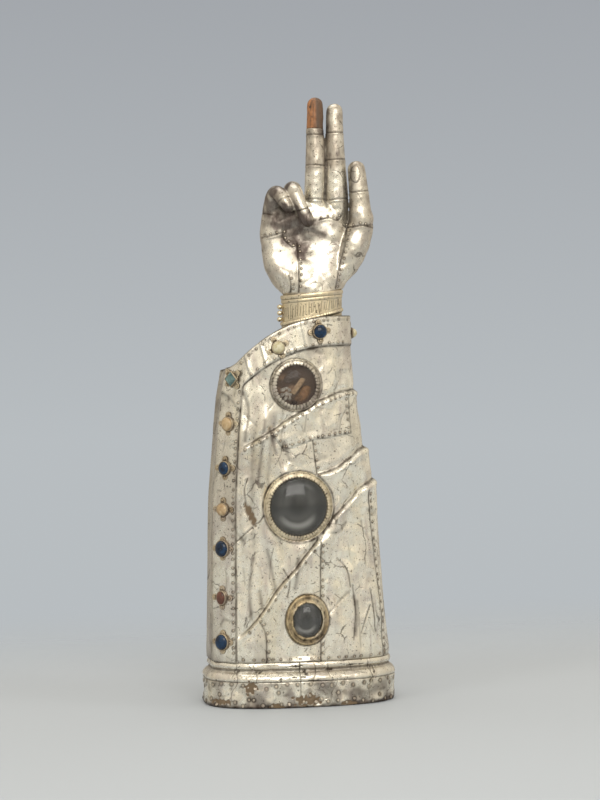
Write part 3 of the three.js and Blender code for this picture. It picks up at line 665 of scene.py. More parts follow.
# Sheet seams on the front as (x, z) lines; the sheet on the right of each line lies on top
seams = [smooth_line(line) for line in (
    [(12.2, 168), (12.4, 110), (12.8, 46)],
    [(64, 217), (68, 185), (71.5, 157), (76, 120), (80.7, 84), (83, 46)],
    [(-50, 88), (-44, 74), (-43.2, 46)], [(5, 270), (7.5, 250), (10, 234)])]
patch_line = np.array([(-36.3, 276), (-24.5, 260.5), (5, 270.5), (47, 276.5), (43.9, 318)])
tears = [smooth_line(line) for line in (
    [(-72, 168), (-64, 176), (-57, 182)], [(-62.5, 208), (-64, 220), (-61, 232)],
    [(-55, 186), (-50, 188), (-46, 194)], [(66, 117), (69, 100), (73, 72)], [(66, 100), (60, 84), (56, 72)],
    [(46, 122), (50, 96), (48, 66)], [(-26, 140), (-20, 128), (-22, 112)],
    [(30, 150), (40, 138), (44, 120)])]
streaks = [(smooth_line(line), reach) for line, reach in (
    ([(-44, 290), (-47, 262), (-51, 228)], 2.2), ([(-39, 283), (-33, 256)], 1.6),
    ([(-42, 160), (-38, 140), (-33, 115)], 2.0), ([(-50, 118), (-47, 100)], 2.0),
    ([(-24, 268), (-19, 250)], 2.4),
    ([(-64, 318), (-60, 300), (-63, 270)], 1.8), ([(48, 110), (51, 92), (50, 70)], 2.0),
    ([(-10, 150), (-14, 120)], 2.2), ([(-56, 152), (-60, 120), (-58, 90)], 1.8))]
engraved = [(-82, 268), (-71.7, 271.4), (-71.7, 264), (-82, 268)]

# Pleats of the hem as a line, the width of the facet beside it, and how far that stands out
hem_pleats = [([(-48, 366), (-42, 344)], 4, 0.8), ([(-62, 355), (-57, 334)], 4, 0.8),
              ([(-8, 392), (-2, 365)], 6, 0.5), ([(32, 392), (24, 366)], 8, 0.25),
              ([(-80, 320), (-69, 303)], 6, 0.6), ([(8, 395), (10, 378)], 5, 0.4)]
torn_x, torn_z, torn_half_x, torn_half_z, torn_slant = -58.7, 196.0, 3.4, 11.5, 0.38

# The strip's facet lies flat round this side, square to an oval of the sleeve's middle size
strip_facet = 0.895
facet_half_x, facet_half_y = 90.0, 41.0
windows = {
    "upper": {"share": 0.801, "side": 0.0, "rim": (26.5, 26.5), "crystal": (20.7, 20.7), "dome": 7.5},
    "middle": {"share": 0.45, "side": -0.03, "rim": (35.8, 35.8), "crystal": (30.1, 30.1), "dome": 12.0},
    "lower": {"share": 0.122, "side": 0.0, "rim": (22.5, 25.8), "crystal": (14.9, 18.1), "dome": 7.5},
}
for name, pane in windows.items():
    pane["name"] = name
    pane["z"] = plinth_height + sleeve_height * pane["share"]
    middle_x, half_x, half_y, _ = sleeve_plan(pane["z"])
    pane["x"] = middle_x + half_x * pane["side"]
    pane["seat"] = -half_y * depth_at(pane["rim"][0] / half_x + abs(pane["side"]))


def creases(points, size, seed):
    return np.abs(ripple(points, size, seed)) - 0.8


def fold_relief(points, side, share, half_x, front):
    relief, grime_and_shade, ridge_shade = np.zeros((3, *side.shape))
    for edge, start, proud, fade in fold_edges:
        below = (edge(side) - share) * sleeve_height + 0.4 * ripple(points * (1, 1, 0.4), 17, 39)
        within = smooth(start, start + 0.18, side)
        proud = proud * (1 + 0.08 * ripple(points, 15, 38))
        relief += proud * within * smooth(-1.8, 1.2, below) * np.exp(-np.maximum(below, 0) / fade)
        relief += 0.9 * within * hump(below - 3.2, 2.2) - 0.8 * within * hump(below + 3.5, 3.0)
        # A dark line just above each fold's edge is painted shade in the crease
        grime_and_shade += 1.1 * within * hump(below + 1.4, 1.3)
    for line, proud, reach, low, high in ridges:
        shown = smooth(low, low + 0.09, share) * smooth(high, high - 0.09, share) * front
        off = (side - line(share)) * half_x
        relief += proud * shown * (hump(off, reach) - 0.4 * hump(off - reach * 1.7, reach * 0.6))
        # Painted shade on the shadow side of each ridge, as a dark line and a broader smoky band
        grime_and_shade += 0.3 * shown * hump(off - reach * 1.7, 1.6)
        ridge_shade += 0.16 * shown * hump(off - reach * 1.5, 3.2)
    return relief, grime_and_shade, ridge_shade


def sheet_relief(points, side, near):
    x, z = points[..., 0], points[..., 2]
    relief, grime_and_shade, streaked = np.zeros((3, *x.shape))
    for line in seams:
        distance, hand = from_line(x, z, line)
        close = np.where(near, distance, 99)
        relief += 0.6 * smooth(6.0, 0.0, close) * (hand < 0) - 0.4 * hump(close, 0.7)
        grime_and_shade += 1.0 * hump(close, 0.85)
    close = np.where(near, from_line(x, z, patch_line)[0], 99)
    patch_top = fold_edges[0][0](side) * sleeve_height + plinth_height
    patch_foot = np.interp(x, patch_line[:-1, 0], patch_line[:-1, 1])
    on_patch = near * smooth(-0.6, 0.6, z - patch_foot) * smooth(-0.6, 0.6, patch_top - z)
    relief += 0.7 * on_patch * smooth(-36, -34, x) * smooth(47.5, 45.5, x) - 0.3 * hump(close, 0.6)
    grime_and_shade += 0.8 * hump(close, 0.7)
    for line in tears:
        close = np.where(near, from_line(x, z, line)[0], 99)
        relief += 0.5 * hump(close, 2.6) - 0.9 * hump(close, 0.7)
        grime_and_shade += 0.9 * hump(close, 0.75)
    hole = np.hypot((x - torn_x + torn_slant * (z - torn_z)) / torn_half_x, (z - torn_z) / torn_half_z)
    bare = near * smooth(1.05, 0.9, hole + 0.18 * ripple(points, 5, 41))
    relief -= 0.8 * bare
    grime_and_shade += 0.6 * near * hump(hole - 1, 0.12)
    for line, reach in streaks:
        streak = hump(np.where(near, from_line(x, z, line)[0], 99), reach)
        streaked = np.maximum(streaked, streak)
        relief -= 0.5 * streak
    return relief, grime_and_shade, bare, streaked


def sheet_dents(points, strip):
    x, z = points[..., 0], points[..., 2]
    dents = 0.8 * ripple(points * (1, 1, 0.3), 40, 42) + 2.0 * crumple(points * (1, 1, 0.42), 30, 43)
    wrinkled = smooth(-0.4, 1.0, ripple(points, 60, 48) + 1.6 * hump(np.hypot(x - 36, z - 322), 34))
    dents += (0.3 + 0.9 * wrinkled) * 1.2 * crumple(points * (1, 1, 0.7), 14, 45)
    dents += (0.25 + 0.75 * wrinkled) * 0.55 * creases(points * (1, 1, 0.55), 34, 49)
    dents = dents * (1 - 0.55 * strip) + 0.04 * ripple(points, 9, 44)
    grime_and_shade = np.zeros(x.shape)
    for size, seed in ((62, 61), (40, 63)):
        broken = smooth(0.1, 0.7, ripple(points, 34, seed + 1)) * smooth(0, 5, z - sleeve_foot)
        hairline = hump(ripple(points * (1, 1, 0.5), size, seed), 0.1) * broken
        grime_and_shade += 0.5 * hairline
        dents -= 0.35 * hairline
    return dents * smooth(0, 6, z - sleeve_foot), grime_and_shade


def hem_relief(points, near, hem, lip_gap):
    x, z = points[..., 0], points[..., 2]
    relief = hem_thickness * hem + hem * (1 - hem) + 0.2 * hump(lip_gap - 2.4, 1.2) * (z > 330)
    relief += 0.2 * hem * hump(lip_gap - hem_width + 2.5, 1.0)
    close = np.where(near, from_line(x, z, engraved)[0], 99)
    relief += 0.3 * hump(close, 0.7)
    grime_and_shade = 0.25 * hump(close - 1.0, 0.5)
    for line, facet_width, facet_rise in hem_pleats:
        pleat, hand = from_line(x, z, line)
        relief += facet_rise * near * hem * smooth(facet_width, 0, pleat) * (hand > 0)
        grime_and_shade += 0.4 * near * hem * hump(pleat, 0.6)
    return relief, grime_and_shade


def strip_relief(x, y, out, side, face, plan):
    middle_x, half_x, half_y, _ = plan
    deep_at = depth_at(strip_facet)
    facet = outward(-strip_facet * facet_half_x, facet_half_y * deep_at, facet_half_x, facet_half_y)
    across, deep = facet[0], np.sign(face) * facet[1]
    off_x = x - middle_x + half_x * strip_facet
    off_y = y - np.sign(face) * half_y * deep_at
    lag = -(off_x * across + off_y * deep)
    run = off_x * deep - off_y * across
    flatten = smooth(17, 10, -run) * smooth(14, 11, run) * (side < -0.6) * 0.85
    return flatten * np.clip(lag, 0, 3.2) / np.maximum(out[..., 0] * across + out[..., 1] * deep, 0.5)


def seat_windows(pushed, x, y, z):
    grime_and_shade = np.zeros(x.shape)
    for pane in windows.values():
        reach = np.hypot((x - pane["x"]) / pane["rim"][0], (z - pane["z"]) / pane["rim"][1])
        sunk = smooth(0.985, 0.93, reach) * (y < 0)
        flat = smooth(1.25, 1.0, reach) * (y < 0)
        seat_y = np.maximum(pushed[..., 1], pane["seat"] - 3.3)
        pushed[..., 1] = pushed[..., 1] * (1 - flat) + seat_y * flat
        pushed[..., 1] = pushed[..., 1] * (1 - sunk) + (pane["seat"] + 6.2) * sunk
        grime_and_shade += 1.0 * hump(reach - 1.025, 0.03) * (y < 0)
    return grime_and_shade


def sleeve_surface(side, z, face):
    plan = sleeve_plan(z)
    middle_x, half_x, half_y, share = plan
    x = middle_x + half_x * side
    y = face * depth_at(side) * half_y
    out = outward(half_x * side, y, half_x, half_y)
    points = np.stack([x, y, z + 0 * x], -1)
    front = smooth(-half_y * 0.4, half_y * 0.4, -y)
    near = front > 0.5
    lip_gap = mouth_lip(x, y) - z
    hem = np.maximum(smooth(-0.8, 0.8, hem_width - lip_gap), smooth(-0.008, 0.008, -side - hem_strip))
    strip = smooth(hem_strip - 0.01, hem_strip + 0.01, -side)
    folds, fold_shade, ridge_shade = fold_relief(points, side, share, half_x, front)
    sheets, sheet_grime, bare, streaked = sheet_relief(points, side, near)
    dents, dent_grime = sheet_dents(points, strip)
    hems, hem_grime = hem_relief(points, near, hem, lip_gap)
    relief = (0.55 + 0.45 * front) * (folds + sheets) * (1 - hem) + dents * (1 - 0.45 * hem) + hems
    relief += strip_relief(x, y, out, side, face, plan)
    pushed = points + out * relief[..., None]
    grime_and_shade = fold_shade + sheet_grime + dent_grime + hem_grime + seat_windows(pushed, x, y, z)
    grime_and_shade += 1.0 * hump((-side - hem_strip) * half_x, 1.0) * (lip_gap > hem_width)
    # Painted shade in a dark line under the hem's raised edge
    grime_and_shade += 1.1 * hump(lip_gap - hem_width - 0.8, 1.3) * smooth(-0.01, 0.02, side + hem_strip)
    grime_and_shade += 0.8 * smooth(1.6, 0.2, lip_gap)
    grime_and_shade += 0.5 * hump(lip_gap - 3.4, 0.8) * smooth(0.2, 0.9, ripple(points, 15, 40))
    grime_and_shade += 0.5 * hump(z - sleeve_foot, 1.5) + 0.1 * smooth(0.5, 1.6, -ripple(points, 13, 46)) * (1 - hem)
    smoke_and_shade = 0.14 * smooth(0.3, 1.7, ripple(points * (1, 1, 0.4), 46, 47))
    smoke_and_shade += 0.2 * smooth(10, 0, z - sleeve_foot)
    # Painted shade at the far left grazing edge and in a band under the hem
    smoke_and_shade += 0.3 * smooth(-0.95, -0.99, side) + 0.12 * strip + 0.2 * hump(lip_gap - hem_width - 5, 6)
    # The ridges' painted shade joins the smoky streaks
    smoke_and_shade += 0.6 * streaked + ridge_shade
    return pushed, (np.clip(grime_and_shade, 0, 1), bare, np.clip(smoke_and_shade, 0, 1))


columns = np.concatenate([even_angles(0, 120, *foot_half), even_angles(np.pi, 240, *foot_half)])
column_side, column_face = oval(columns, 1, 1)
lip_height = np.full(columns.shape, mouth_top)
for _ in range(8):
    middle_x, half_x, half_y, _ = sleeve_plan(lip_height)
    lip_height = mouth_lip(middle_x + half_x * column_side, half_y * column_face)


def along(line, spacing, offset, rng):
    line = np.asarray(line, float)
    length = np.concatenate([[0], np.cumsum(np.hypot(*np.diff(line, axis=0).T))])
    stops = np.arange(spacing / 2, length[-1], spacing)
    stops = stops + rng.normal(0, spacing * 0.12, len(stops))

    def spot(at):
        return np.stack([np.interp(at, length, line[:, 0]), np.interp(at, length, line[:, 1])], -1)

    ahead = spot(stops + 1) - spot(stops - 1)
    ahead /= np.maximum(np.linalg.norm(ahead, axis=1), 1e-6)[:, None]
    return spot(stops) + offset * np.stack([-ahead[:, 1], ahead[:, 0]], -1)


def sleeve_line(share_curve, sides):
    z = plinth_height + share_curve(sides) * sleeve_height
    middle_x, half_x, _, _ = sleeve_plan(z)
    return np.stack([middle_x + sides * half_x, z], -1)


def strip_line(side, low, high):
    z = np.linspace(low, high, 60)
    middle_x, half_x, _, _ = sleeve_plan(z)
    return np.stack([middle_x + side * half_x, z], -1)


def sleeve_nail_spots():
    rng = np.random.default_rng(51)
    strip = strip_line(-hem_strip, 50, 322)
    foot_line = [(-70, 48.6), (90, 48.6)]
    front_rows = [
        (sleeve_line(fold_edges[0][0], np.linspace(-0.74, 0.9, 60)), 7.5, -2.4),
        (hem_line(np.linspace(-58, 47, 70), -1, hem_width), 8.5, 2.6),
        (hem_line(np.linspace(-70, 47, 80), -1, 0), 9.5, -3.2), (strip, 8.0, 2.4), (seams[0], 8.5, 2.4),
        (seams[1], 7.5, 2.4), (seams[2], 9, 2.2), (seams[3], 8, 2.0), (patch_line, 6.5, 2.6),
        (sleeve_line(fold_edges[2][0], np.linspace(-0.72, 0.1, 50)), 15, -3.0), (foot_line, 9.5, 0.0)]
    back_rows = [
        (hem_line(np.linspace(-50, 47, 70), 1, hem_width), 9.5, 2.6),
        (hem_line(np.linspace(-60, 47, 80), 1, 0), 10.5, -3.2), (strip, 9.5, 2.4),
        ([(-8, 330), (-4, 190), (0, 48)], 9.5, 0.0), (foot_line, 10.5, 0.0)]
    front = np.concatenate([along(line, spacing, offset, rng) for line, spacing, offset in front_rows])
    back = np.concatenate([along(line, spacing, offset, rng) for line, spacing, offset in back_rows])
    clear = np.ones(len(front), bool)
    for pane in windows.values():
        off = (front - (pane["x"], pane["z"])) / pane["rim"]
        clear &= np.hypot(*off.T) > 1.06
    spots = np.concatenate([front[clear], back])
    return spots[:, 0], spots[:, 1], np.append(-np.ones(clear.sum()), np.ones(len(back)))


def sleeve_at(x, z, face):
    middle_x, half_x, _, _ = sleeve_plan(z)
    side = np.clip((x - middle_x) / half_x, -0.9999, 0.9999)
    return sleeve_surface(side, z, face)[0]


def sleeve_out(x, z, face):
    beside = sleeve_at(x + 0.4, z, face) - sleeve_at(x - 0.4, z, face)
    above = sleeve_at(x, z + 0.6, face) - sleeve_at(x, z - 0.6, face)
    return -np.asarray(face)[..., None] * np.cross(beside, above)


row_share = np.linspace(0, 1, 258)
z_grid = sleeve_foot + (lip_height - sleeve_foot) * row_share[:, None]
side_grid = np.repeat(column_side[None], len(row_share), 0)
face_grid = np.repeat(np.sign(column_face)[None], len(row_share), 0)
sleeve_points, (sleeve_grime, sleeve_bare, sleeve_smoke) = sleeve_surface(side_grid, z_grid, face_grid)
nail_spots = sleeve_nail_spots()
sleeve_grime = np.maximum(sleeve_grime, 0.9 * halos(sleeve_points, sleeve_at(*nail_spots), 1.45))
rim_out = sleeve_points[-1] - sleeve_points[-1].mean(0)
rim_out[:, 2] = 0
rim_out /= np.linalg.norm(rim_out, axis=1)[:, None]
lip_rows = [sleeve_points[-1] - rim_out * 0.9 + (0, 0, 0.55),
            sleeve_points[-1] - rim_out * (mouth_wall - 0.6) + (0, 0, 0.4),
            sleeve_points[-1] - rim_out * mouth_wall - (0, 0, 0.5)]
floor_row = sleeve_points[-1] - rim_out * (mouth_wall + 1.2)
floor_row[:, 2] = mouth_floor(floor_row[:, 0], floor_row[:, 1])
inner_rows = [lip_rows[-1] * (1 - t) + floor_row * t for t in (0.35, 0.7, 1.0)]
points, faces = skin(np.concatenate([sleeve_points, lip_rows, inner_rows]))
inside = np.append(np.repeat([0.85, 0.85, 0.8, 0.75, 0.75, 0.75], len(columns)), [0, 0.75])
marks = {"grime_and_shade": np.append(sleeve_grime, inside), "bare": np.append(sleeve_bare, inside * 0),
         "smoke_and_shade": np.append(sleeve_smoke, inside)}
make_piece("sleeve_sheet", points, faces, silver, ["sleeve"], marks)
nail_rows("sleeve_nails", sleeve_at(*nail_spots), sleeve_out(*nail_spots), 1.05, small_head, 52)


# Windows
# Three cabochons of rock crystal, each held in a rim round its pocket, silver on the upper one and gilded
# on the others. The rims' inner edges are cut into small scallops, and the upper one has a beaded row
# instead.
gilt = metal_material("gilding", (0.86, 0.74, 0.5, 1), (0.55, 0.45, 0.31, 1), 0.7, 0.28)
rim_gilt = metal_material("rim_gilding", (0.8, 0.7, 0.5, 1), (0.46, 0.38, 0.27, 1), 0.7, 0.4)
rim_brown = metal_material("rim_brown_gilding", (0.7, 0.56, 0.34, 1), (0.36, 0.26, 0.15, 1), 0.8, 0.36)
rim_silver = metal_material("rim_silver", (0.72, 0.66, 0.54, 1), (0.2, 0.16, 0.12, 1), 1.0, 0.26)
mount_gilt = metal_material("mount_gilding", (0.68, 0.56, 0.38, 1), (0.34, 0.26, 0.17, 1), 0.8, 0.36)
crystal_material, tree, crystal_shader = new_material("rock_crystal")
crystal_shader.inputs["Base Color"].default_value = (0.93, 0.93, 0.91, 1)
crystal_shader.inputs["Transmission Weight"].default_value = 1.0
crystal_shader.inputs["Roughness"].default_value = 0.12
crystal_shader.inputs["IOR"].default_value = 1.3
crystal_shader.inputs["Coat Weight"].default_value = 0.4
crystal_shader.inputs["Coat Roughness"].default_value = 0.1
crystal_shader.inputs["Coat IOR"].default_value = 1.6

clear_material, tree, clear_shader = new_material("clear_crystal")
clear_shader.inputs["Base Color"].default_value = (0.95, 0.93, 0.9, 1)
clear_shader.inputs["Transmission Weight"].default_value = 1.0
clear_shader.inputs["Roughness"].default_value = 0.03
clear_shader.inputs["IOR"].default_value = 1.3
clear_shader.inputs["Alpha"].default_value = 0.5


def backing(name, dark, pale):
    material, tree, shader = new_material(name)
    # The glow mark lightens the lining and makes it glow: painted light where the glass keeps the lamps'
    # light from reaching it
    glow = add_node(tree, "ShaderNodeAttribute", attribute_name="glow")
    link(tree, mix_colors(tree, glow.outputs["Fac"], dark, pale), shader.inputs["Base Color"])
    shader.inputs["Emission Strength"].default_value = 0.4
    link(tree, mix_colors(tree, glow.outputs["Fac"], (0, 0, 0, 1), pale), shader.inputs["Emission Color"])
    shader.inputs["Roughness"].default_value = 0.75
    return material


dark_backing = backing("dark_backing", (0.028, 0.027, 0.025, 1), (0.5, 0.5, 0.48, 1))
brown_backing = backing("brown_backing", (0.1, 0.073, 0.06, 1), (0.27, 0.175, 0.11, 1))

rim_height = 4.6


def window_place(pane, radius, height, turn, stretch):
    x = pane["x"] + radius * np.cos(turn) * stretch
    z = pane["z"] + radius * np.sin(turn)
    return np.stack([x, pane["seat"] - height + 0 * x, z], -1)


def window_rim(name, pane, teeth, tooth_depth, material, dished=False):
    turn = np.linspace(0, 2 * np.pi, 480, endpoint=False)
    stretch = pane["rim"][0] / pane["rim"][1]
    inner = pane["crystal"][1] + 0.15
    outer = pane["rim"][1]
    scallop = np.abs(np.sin(turn * teeth / 2)) ** 0.6
    waver = 0.25 * np.sin(turn * 5 + 1) + 0.18 * np.sin(turn * 9 + 2)
    width = outer - inner
    groove_height = 2.2
    profile = [(outer - 0.3, -0.2, 0), (outer, 0.7, 0), (outer - 0.1, 1.9, 0), (outer - 0.5, 2.5, 0),
               (outer - 0.95, 2.55, 0), (outer - 1.25, groove_height, 0), (outer - 1.6, 2.5, 0),
               (outer - width * 0.4, 3.1, 0), (outer - width * 0.62, 3.6, 0),
               (inner + width * 0.2, 4.0, 0.5), (inner + 0.1, 4.15, 1.0), (inner - 0.6, 4.0, 1.0),
               (inner - 0.8, 3.4, 1.0), (inner + 0.1, 2.3, 0.2), (inner + 0.1, -0.2, 0)]
    if pane["name"] == "upper":
        profile[7:9] = [(outer - width * 0.3, 3.1, 0.5), (outer - width * 0.55, 3.6, 1.0)]
    dish_shade = 0.0
    if dished:
        dish_shade = 0.35 + 0.3 * smooth(0.3, -0.9, np.sin(turn))
        profile[4:9] = [(outer - 1.3, 3.0, 0), (outer - width * 0.35, 2.7, 0),
                        (outer - width * 0.55, 2.4, 0), (inner + width * 0.3, 2.4, 0),
                        (inner + width * 0.22, 3.0, 0.6)]
    rows, marks = [], []
    for radius, height, tooth in profile:
        push = tooth * tooth_depth * (1 - scallop)
        rows.append(window_place(pane, radius + push, height - 0.3 * tooth * (1 - scallop) + 0.12 * waver,
                                 turn, stretch))
        dark = 0.85 if height == groove_height else 0.1
        worn = 0.35 * smooth(0.4, 1.4, ripple(rows[-1], 3.5, 49))
        worn += 0.25 * smooth(0.3, 1.5, ripple(rows[-1], 9, 50))
        in_dish = dish_shade * (2.35 < height < 2.75) * (tooth == 0)
        # On the toothed rows the notches between the scallops are darkened: painted shade along the inner
        # edge
        marks.append(dark + worn + in_dish + (0.5 if dished else 0.9) * tooth * (1 - scallop) ** 1.5)
    points, faces = skin(np.array(rows)[::-1], loop=True)
    return make_piece(name, points, faces, material, [f"window_rim_{pane['name']}"],
                      {"grime_and_shade": np.clip(np.array(marks)[::-1], 0, 1)})


def crystal_piece(pane):
    turn = np.linspace(0, 2 * np.pi, 160, endpoint=False)
    stretch = pane["crystal"][0] / pane["crystal"][1]
    girdle = rim_height * 0.5
    edge = pane["crystal"][1] - 0.4
    upper = pane["name"] == "upper"
    rows = [window_place(pane, edge * s, 0.4, turn, stretch) for s in (0.15, 0.4, 0.65, 0.85, 0.94, 0.97)]
    rows.append(window_place(pane, edge, 0.8, turn, stretch))
    rows.append(window_place(pane, edge, girdle, turn, stretch))
    for lift in np.linspace(0.04, 0.98, 34) * np.pi / 2:
        height = girdle + pane["dome"] * np.sin(lift)
        rows.append(window_place(pane, edge * np.cos(lift), height, turn, stretch))
    points, faces = skin(np.array(rows))
    make_piece(f"crystal_dome_{pane['name']}", points, faces, clear_material if upper else crystal_material,
               [f"crystal_{pane['name']}"])
    back, glow = [], []
    wall = 1 + 0.2 / edge
    bowl = [(share, 4.6 - 1.6 * share * share) for share in np.linspace(0.08, 1.0, 24)]
    for share, depth in [(0.02, 4.6), *bowl, (wall, 2.8), (wall, -2.4), (wall + 0.1 / edge, -2.4),
                         (wall + 0.1 / edge, 0.5), (1.1, 0.5), (1.1, 6.0), (0.5, 6.0)]:
        back.append(window_place(pane, edge * share, -depth, turn, stretch))
        high, low = smooth(0.5, 0.95, np.sin(turn)), smooth(-0.3, -0.9, np.sin(turn))
        # Painted light on the dark linings: a pale crescent low down and faint lit rings
        ring = 0.42 * hump(share - 0.63, 0.1) * low - 0.12 * hump(share - 0.5, 0.03) * low
        ring += 0.07 * hump(share - 0.45, 0.2) + 0.16 * hump(share - 0.72, 0.05) * high
        # On the upper lining, a faint glow all over, brighter in patches towards one side and fading out at
        # the edge: painted light
        stain_and_glow = 0.55 * smooth(-0.3, 1.3, ripple(back[-1], 15, 48)) * smooth(0.6, -0.5, np.sin(turn + 0.8))
        glow.append((0.08 + stain_and_glow) * smooth(1.0, 0.72, share) if upper else np.clip(ring, 0, 1))
    points, faces = skin(np.array(back))
    backing = brown_backing if upper else dark_backing
    glow = np.append(np.array(glow).ravel(), [0, 0])
    make_piece(f"window_lining_{pane['name']}", points, faces, backing, (), {"glow": glow})


for pane in windows.values():
    crystal_piece(pane)
window_rim("rim_upper", windows["upper"], 40, 1.3, rim_silver)
window_rim("rim_middle", windows["middle"], 62, 0.9, rim_gilt)
window_rim("rim_lower", windows["lower"], 11, 0.45, rim_brown, dished=True)


# Behind the upper crystal
# Small relics on brown cloth: a tan strip of parchment, brown folds, pale lumps and a dark knob, and a dark
# fold across the top as painted shade under the rim.
def relic(name, place_x, place_z, half_x, half_z, depth, lean, color, seed, power=2.0):
    pane = windows["upper"]
    turn = np.linspace(0, 2 * np.pi, 28, endpoint=False)
    rows = []
    for lift in np.linspace(-0.92, 0.92, 12) * np.pi / 2:
        a, b = oval(turn, half_x * np.cos(lift) ** (2 / power), half_z * np.cos(lift) ** (2 / power), power)
        x = pane["x"] + place_x + a * np.cos(lean) - b * np.sin(lean)
        z = pane["z"] + place_z + a * np.sin(lean) + b * np.cos(lean)
        rows.append(np.stack([x, pane["seat"] + 2.4 - depth * np.sin(lift) + 0 * x, z], -1))
    points, faces = skin(np.array(rows))
    material, tree, shader = new_material(name)
    place = add_node(tree, "ShaderNodeTexCoord")
    worn = range_node(tree, noise(tree, place, 420, 3, 0.6, 0.5), 0.38, 0.62)
    shade = tuple(0.6 * part for part in color[:3]) + (1,)
    link(tree, mix_colors(tree, worn, shade, color), shader.inputs["Base Color"])
    shader.inputs["Roughness"].default_value = 0.75
    make_piece(name, points + 0.25 * ripple(points, 4, seed)[:, None], faces, material)


relic("parchment", 2.6, -1.0, 2.6, 9.6, 0.9, -0.62, (0.5, 0.36, 0.23, 1), 101, 5.0)
relic("relic_fold", 9.0, -8.0, 4.6, 8.6, 1.2, -0.5, (0.3, 0.17, 0.09, 1), 102)
relic("relic_roll", 4.5, -11.5, 3.0, 7.0, 1.2, -0.9, (0.2, 0.12, 0.07, 1), 104)
# A dark fold across the top of the window: painted shade under the rim
relic("top_shade_fold", -4.0, 8.0, 8.5, 4.5, 0.8, 0.5, (0.13, 0.1, 0.085, 1), 105)
relic("dark_knob", -1.0, -17.0, 3.0, 2.2, 1.4, 0.0, (0.07, 0.05, 0.04, 1), 103)
lumps = [(-12.5, -4.5, 2.4), (-9.0, -8.5, 2.6), (-13.0, -9.5, 2.2), (-6.0, -5.0, 2.0), (-9.5, -3.0, 1.9),
         (-5.5, -9.5, 1.9), (-9.5, -12.8, 2.0), (-5.5, -13.0, 1.6)]
lump_color = (0.55, 0.51, 0.45, 1)
for index, (at_x, at_z, size) in enumerate(lumps):
    relic(f"pale_lump_{index + 1}", at_x, at_z, size, size * 0.8, 1.6, index * 0.7, lump_color, 110 + index)


# Settings and stones
# Each stone sits in a plain collar on a four-lobed gilded plate that follows the sheet, with
# a rivet through each lobe. Stones are low cabochons in blue, milky, green-grey and amber.
set_stones = [
    ("hem_1", 0.363, 0.955, -1, 6.8, 6.8, "stone_blue"),
    ("hem_2", -0.316, 0.909, -1, 5.8, 5.8, "stone_pearl"),
    ("hem_3", -0.915, 0.818, -1, 6.6, 6.6, "stone_teal"),
    ("strip_1", -0.905, 0.689, -1, 6.3, 6.7, "stone_amber"),
    ("strip_2", -0.905, 0.562, -1, 5.8, 6.6, "stone_blue"),
    ("strip_3", -0.9, 0.443, -1, 5.9, 5.9, "stone_orange"),
    ("strip_4", -0.9, 0.33, -1, 7.0, 8.0, "stone_blue"),
    ("strip_5", -0.905, 0.188, -1, 4.8, 6.6, "stone_garnet"),
    ("strip_6", -0.9, 0.06, -1, 6.8, 7.8, "stone_blue"),
    ("hem_end", 0.9995, 0.95, -1, 5.0, 5.0, "stone_pearl"),
    ("back_1", 0.3, 0.9425, 1, 6.0, 6.0, "stone_pearl"),
    ("back_2", -0.45, 0.872, 1, 6.0, 6.0, "stone_blue"),
    ("back_3", -0.85, 0.64, 1, 6.0, 6.6, "stone_amber"),
    ("back_4", -0.85, 0.25, 1, 6.0, 6.6, "stone_blue"),
]
stone_looks = {
    "stone_blue": ((0.0005, 0.004, 0.013, 1), (0.007, 0.036, 0.09, 1), 0.06),
    "stone_pearl": ((0.42, 0.36, 0.2, 1), (0.62, 0.58, 0.42, 1), 0.2),
    "stone_teal": ((0.045, 0.085, 0.085, 1), (0.16, 0.24, 0.22, 1), 0.1),
    "stone_amber": ((0.32, 0.21, 0.1, 1), (0.55, 0.42, 0.25, 1), 0.2),
    "stone_orange": ((0.3, 0.19, 0.09, 1), (0.52, 0.4, 0.24, 1), 0.24),
    "stone_garnet": ((0.05, 0.018, 0.012, 1), (0.16, 0.065, 0.04, 1), 0.2),
}
stone_materials = {}
for name, (deep, pale, gloss) in stone_looks.items():
    material, tree, shader = new_material(name)
    place = add_node(tree, "ShaderNodeTexCoord")
    cloud = range_node(tree, noise(tree, place, 160, 3, 0.5, 0.6), 0.35, 0.68)
    link(tree, mix_colors(tree, cloud, deep, pale), shader.inputs["Base Color"])
    shader.inputs["Roughness"].default_value = gloss
    shader.inputs["IOR"].default_value = 1.46
    stone_materials[name] = material

plate_reach, plate_thickness = 11.0, 1.2
bezel_height = 2.4


def seat_frame(side, share, face):
    z = plinth_height + sleeve_height * share
    middle_x, half_x, half_y, _ = sleeve_plan(z)
    y = face * depth_at(side) * half_y
    out = outward(half_x * side, y, half_x, half_y)
    point = np.array([middle_x + half_x * side, y, z]) + out * hem_thickness
    up = np.array([0, 0, 1.0])
    beside = np.cross(up, out)
    bend = 0.0
    bend_reach = 8.0
    for step in (-bend_reach, bend_reach):
        probe_x = point[0] + beside[0] * step - out[0] * 1.5
        near_side = np.clip((probe_x - middle_x) / half_x, -1, 1)
        probe_y = face * depth_at(near_side) * half_y
        probe = np.array([middle_x + half_x * near_side, probe_y, z]) + out * hem_thickness
        bend += max(0.0, -np.dot(probe - point, out)) / 2
    flattened = 0.12 if side < -0.8 else 1.0
    return point, beside, up, out, flattened * min(bend, 3.2) / bend_reach**2


def on_seat(seat, a, b, h):
    point, beside, up, out, bend = seat
    lift = h - bend * a**2
    return point + a[..., None] * beside + b[..., None] * up + lift[..., None] * out


def stone_outline(turn, half_x, half_z, square):
    if not square:
        return half_x * np.cos(turn), half_z * np.sin(turn)
    reach = 0.8 / np.maximum(np.abs(np.cos(turn + 0.8)), np.abs(np.sin(turn + 0.8)))
    return half_x * reach * np.cos(turn), half_z * reach * np.sin(turn)


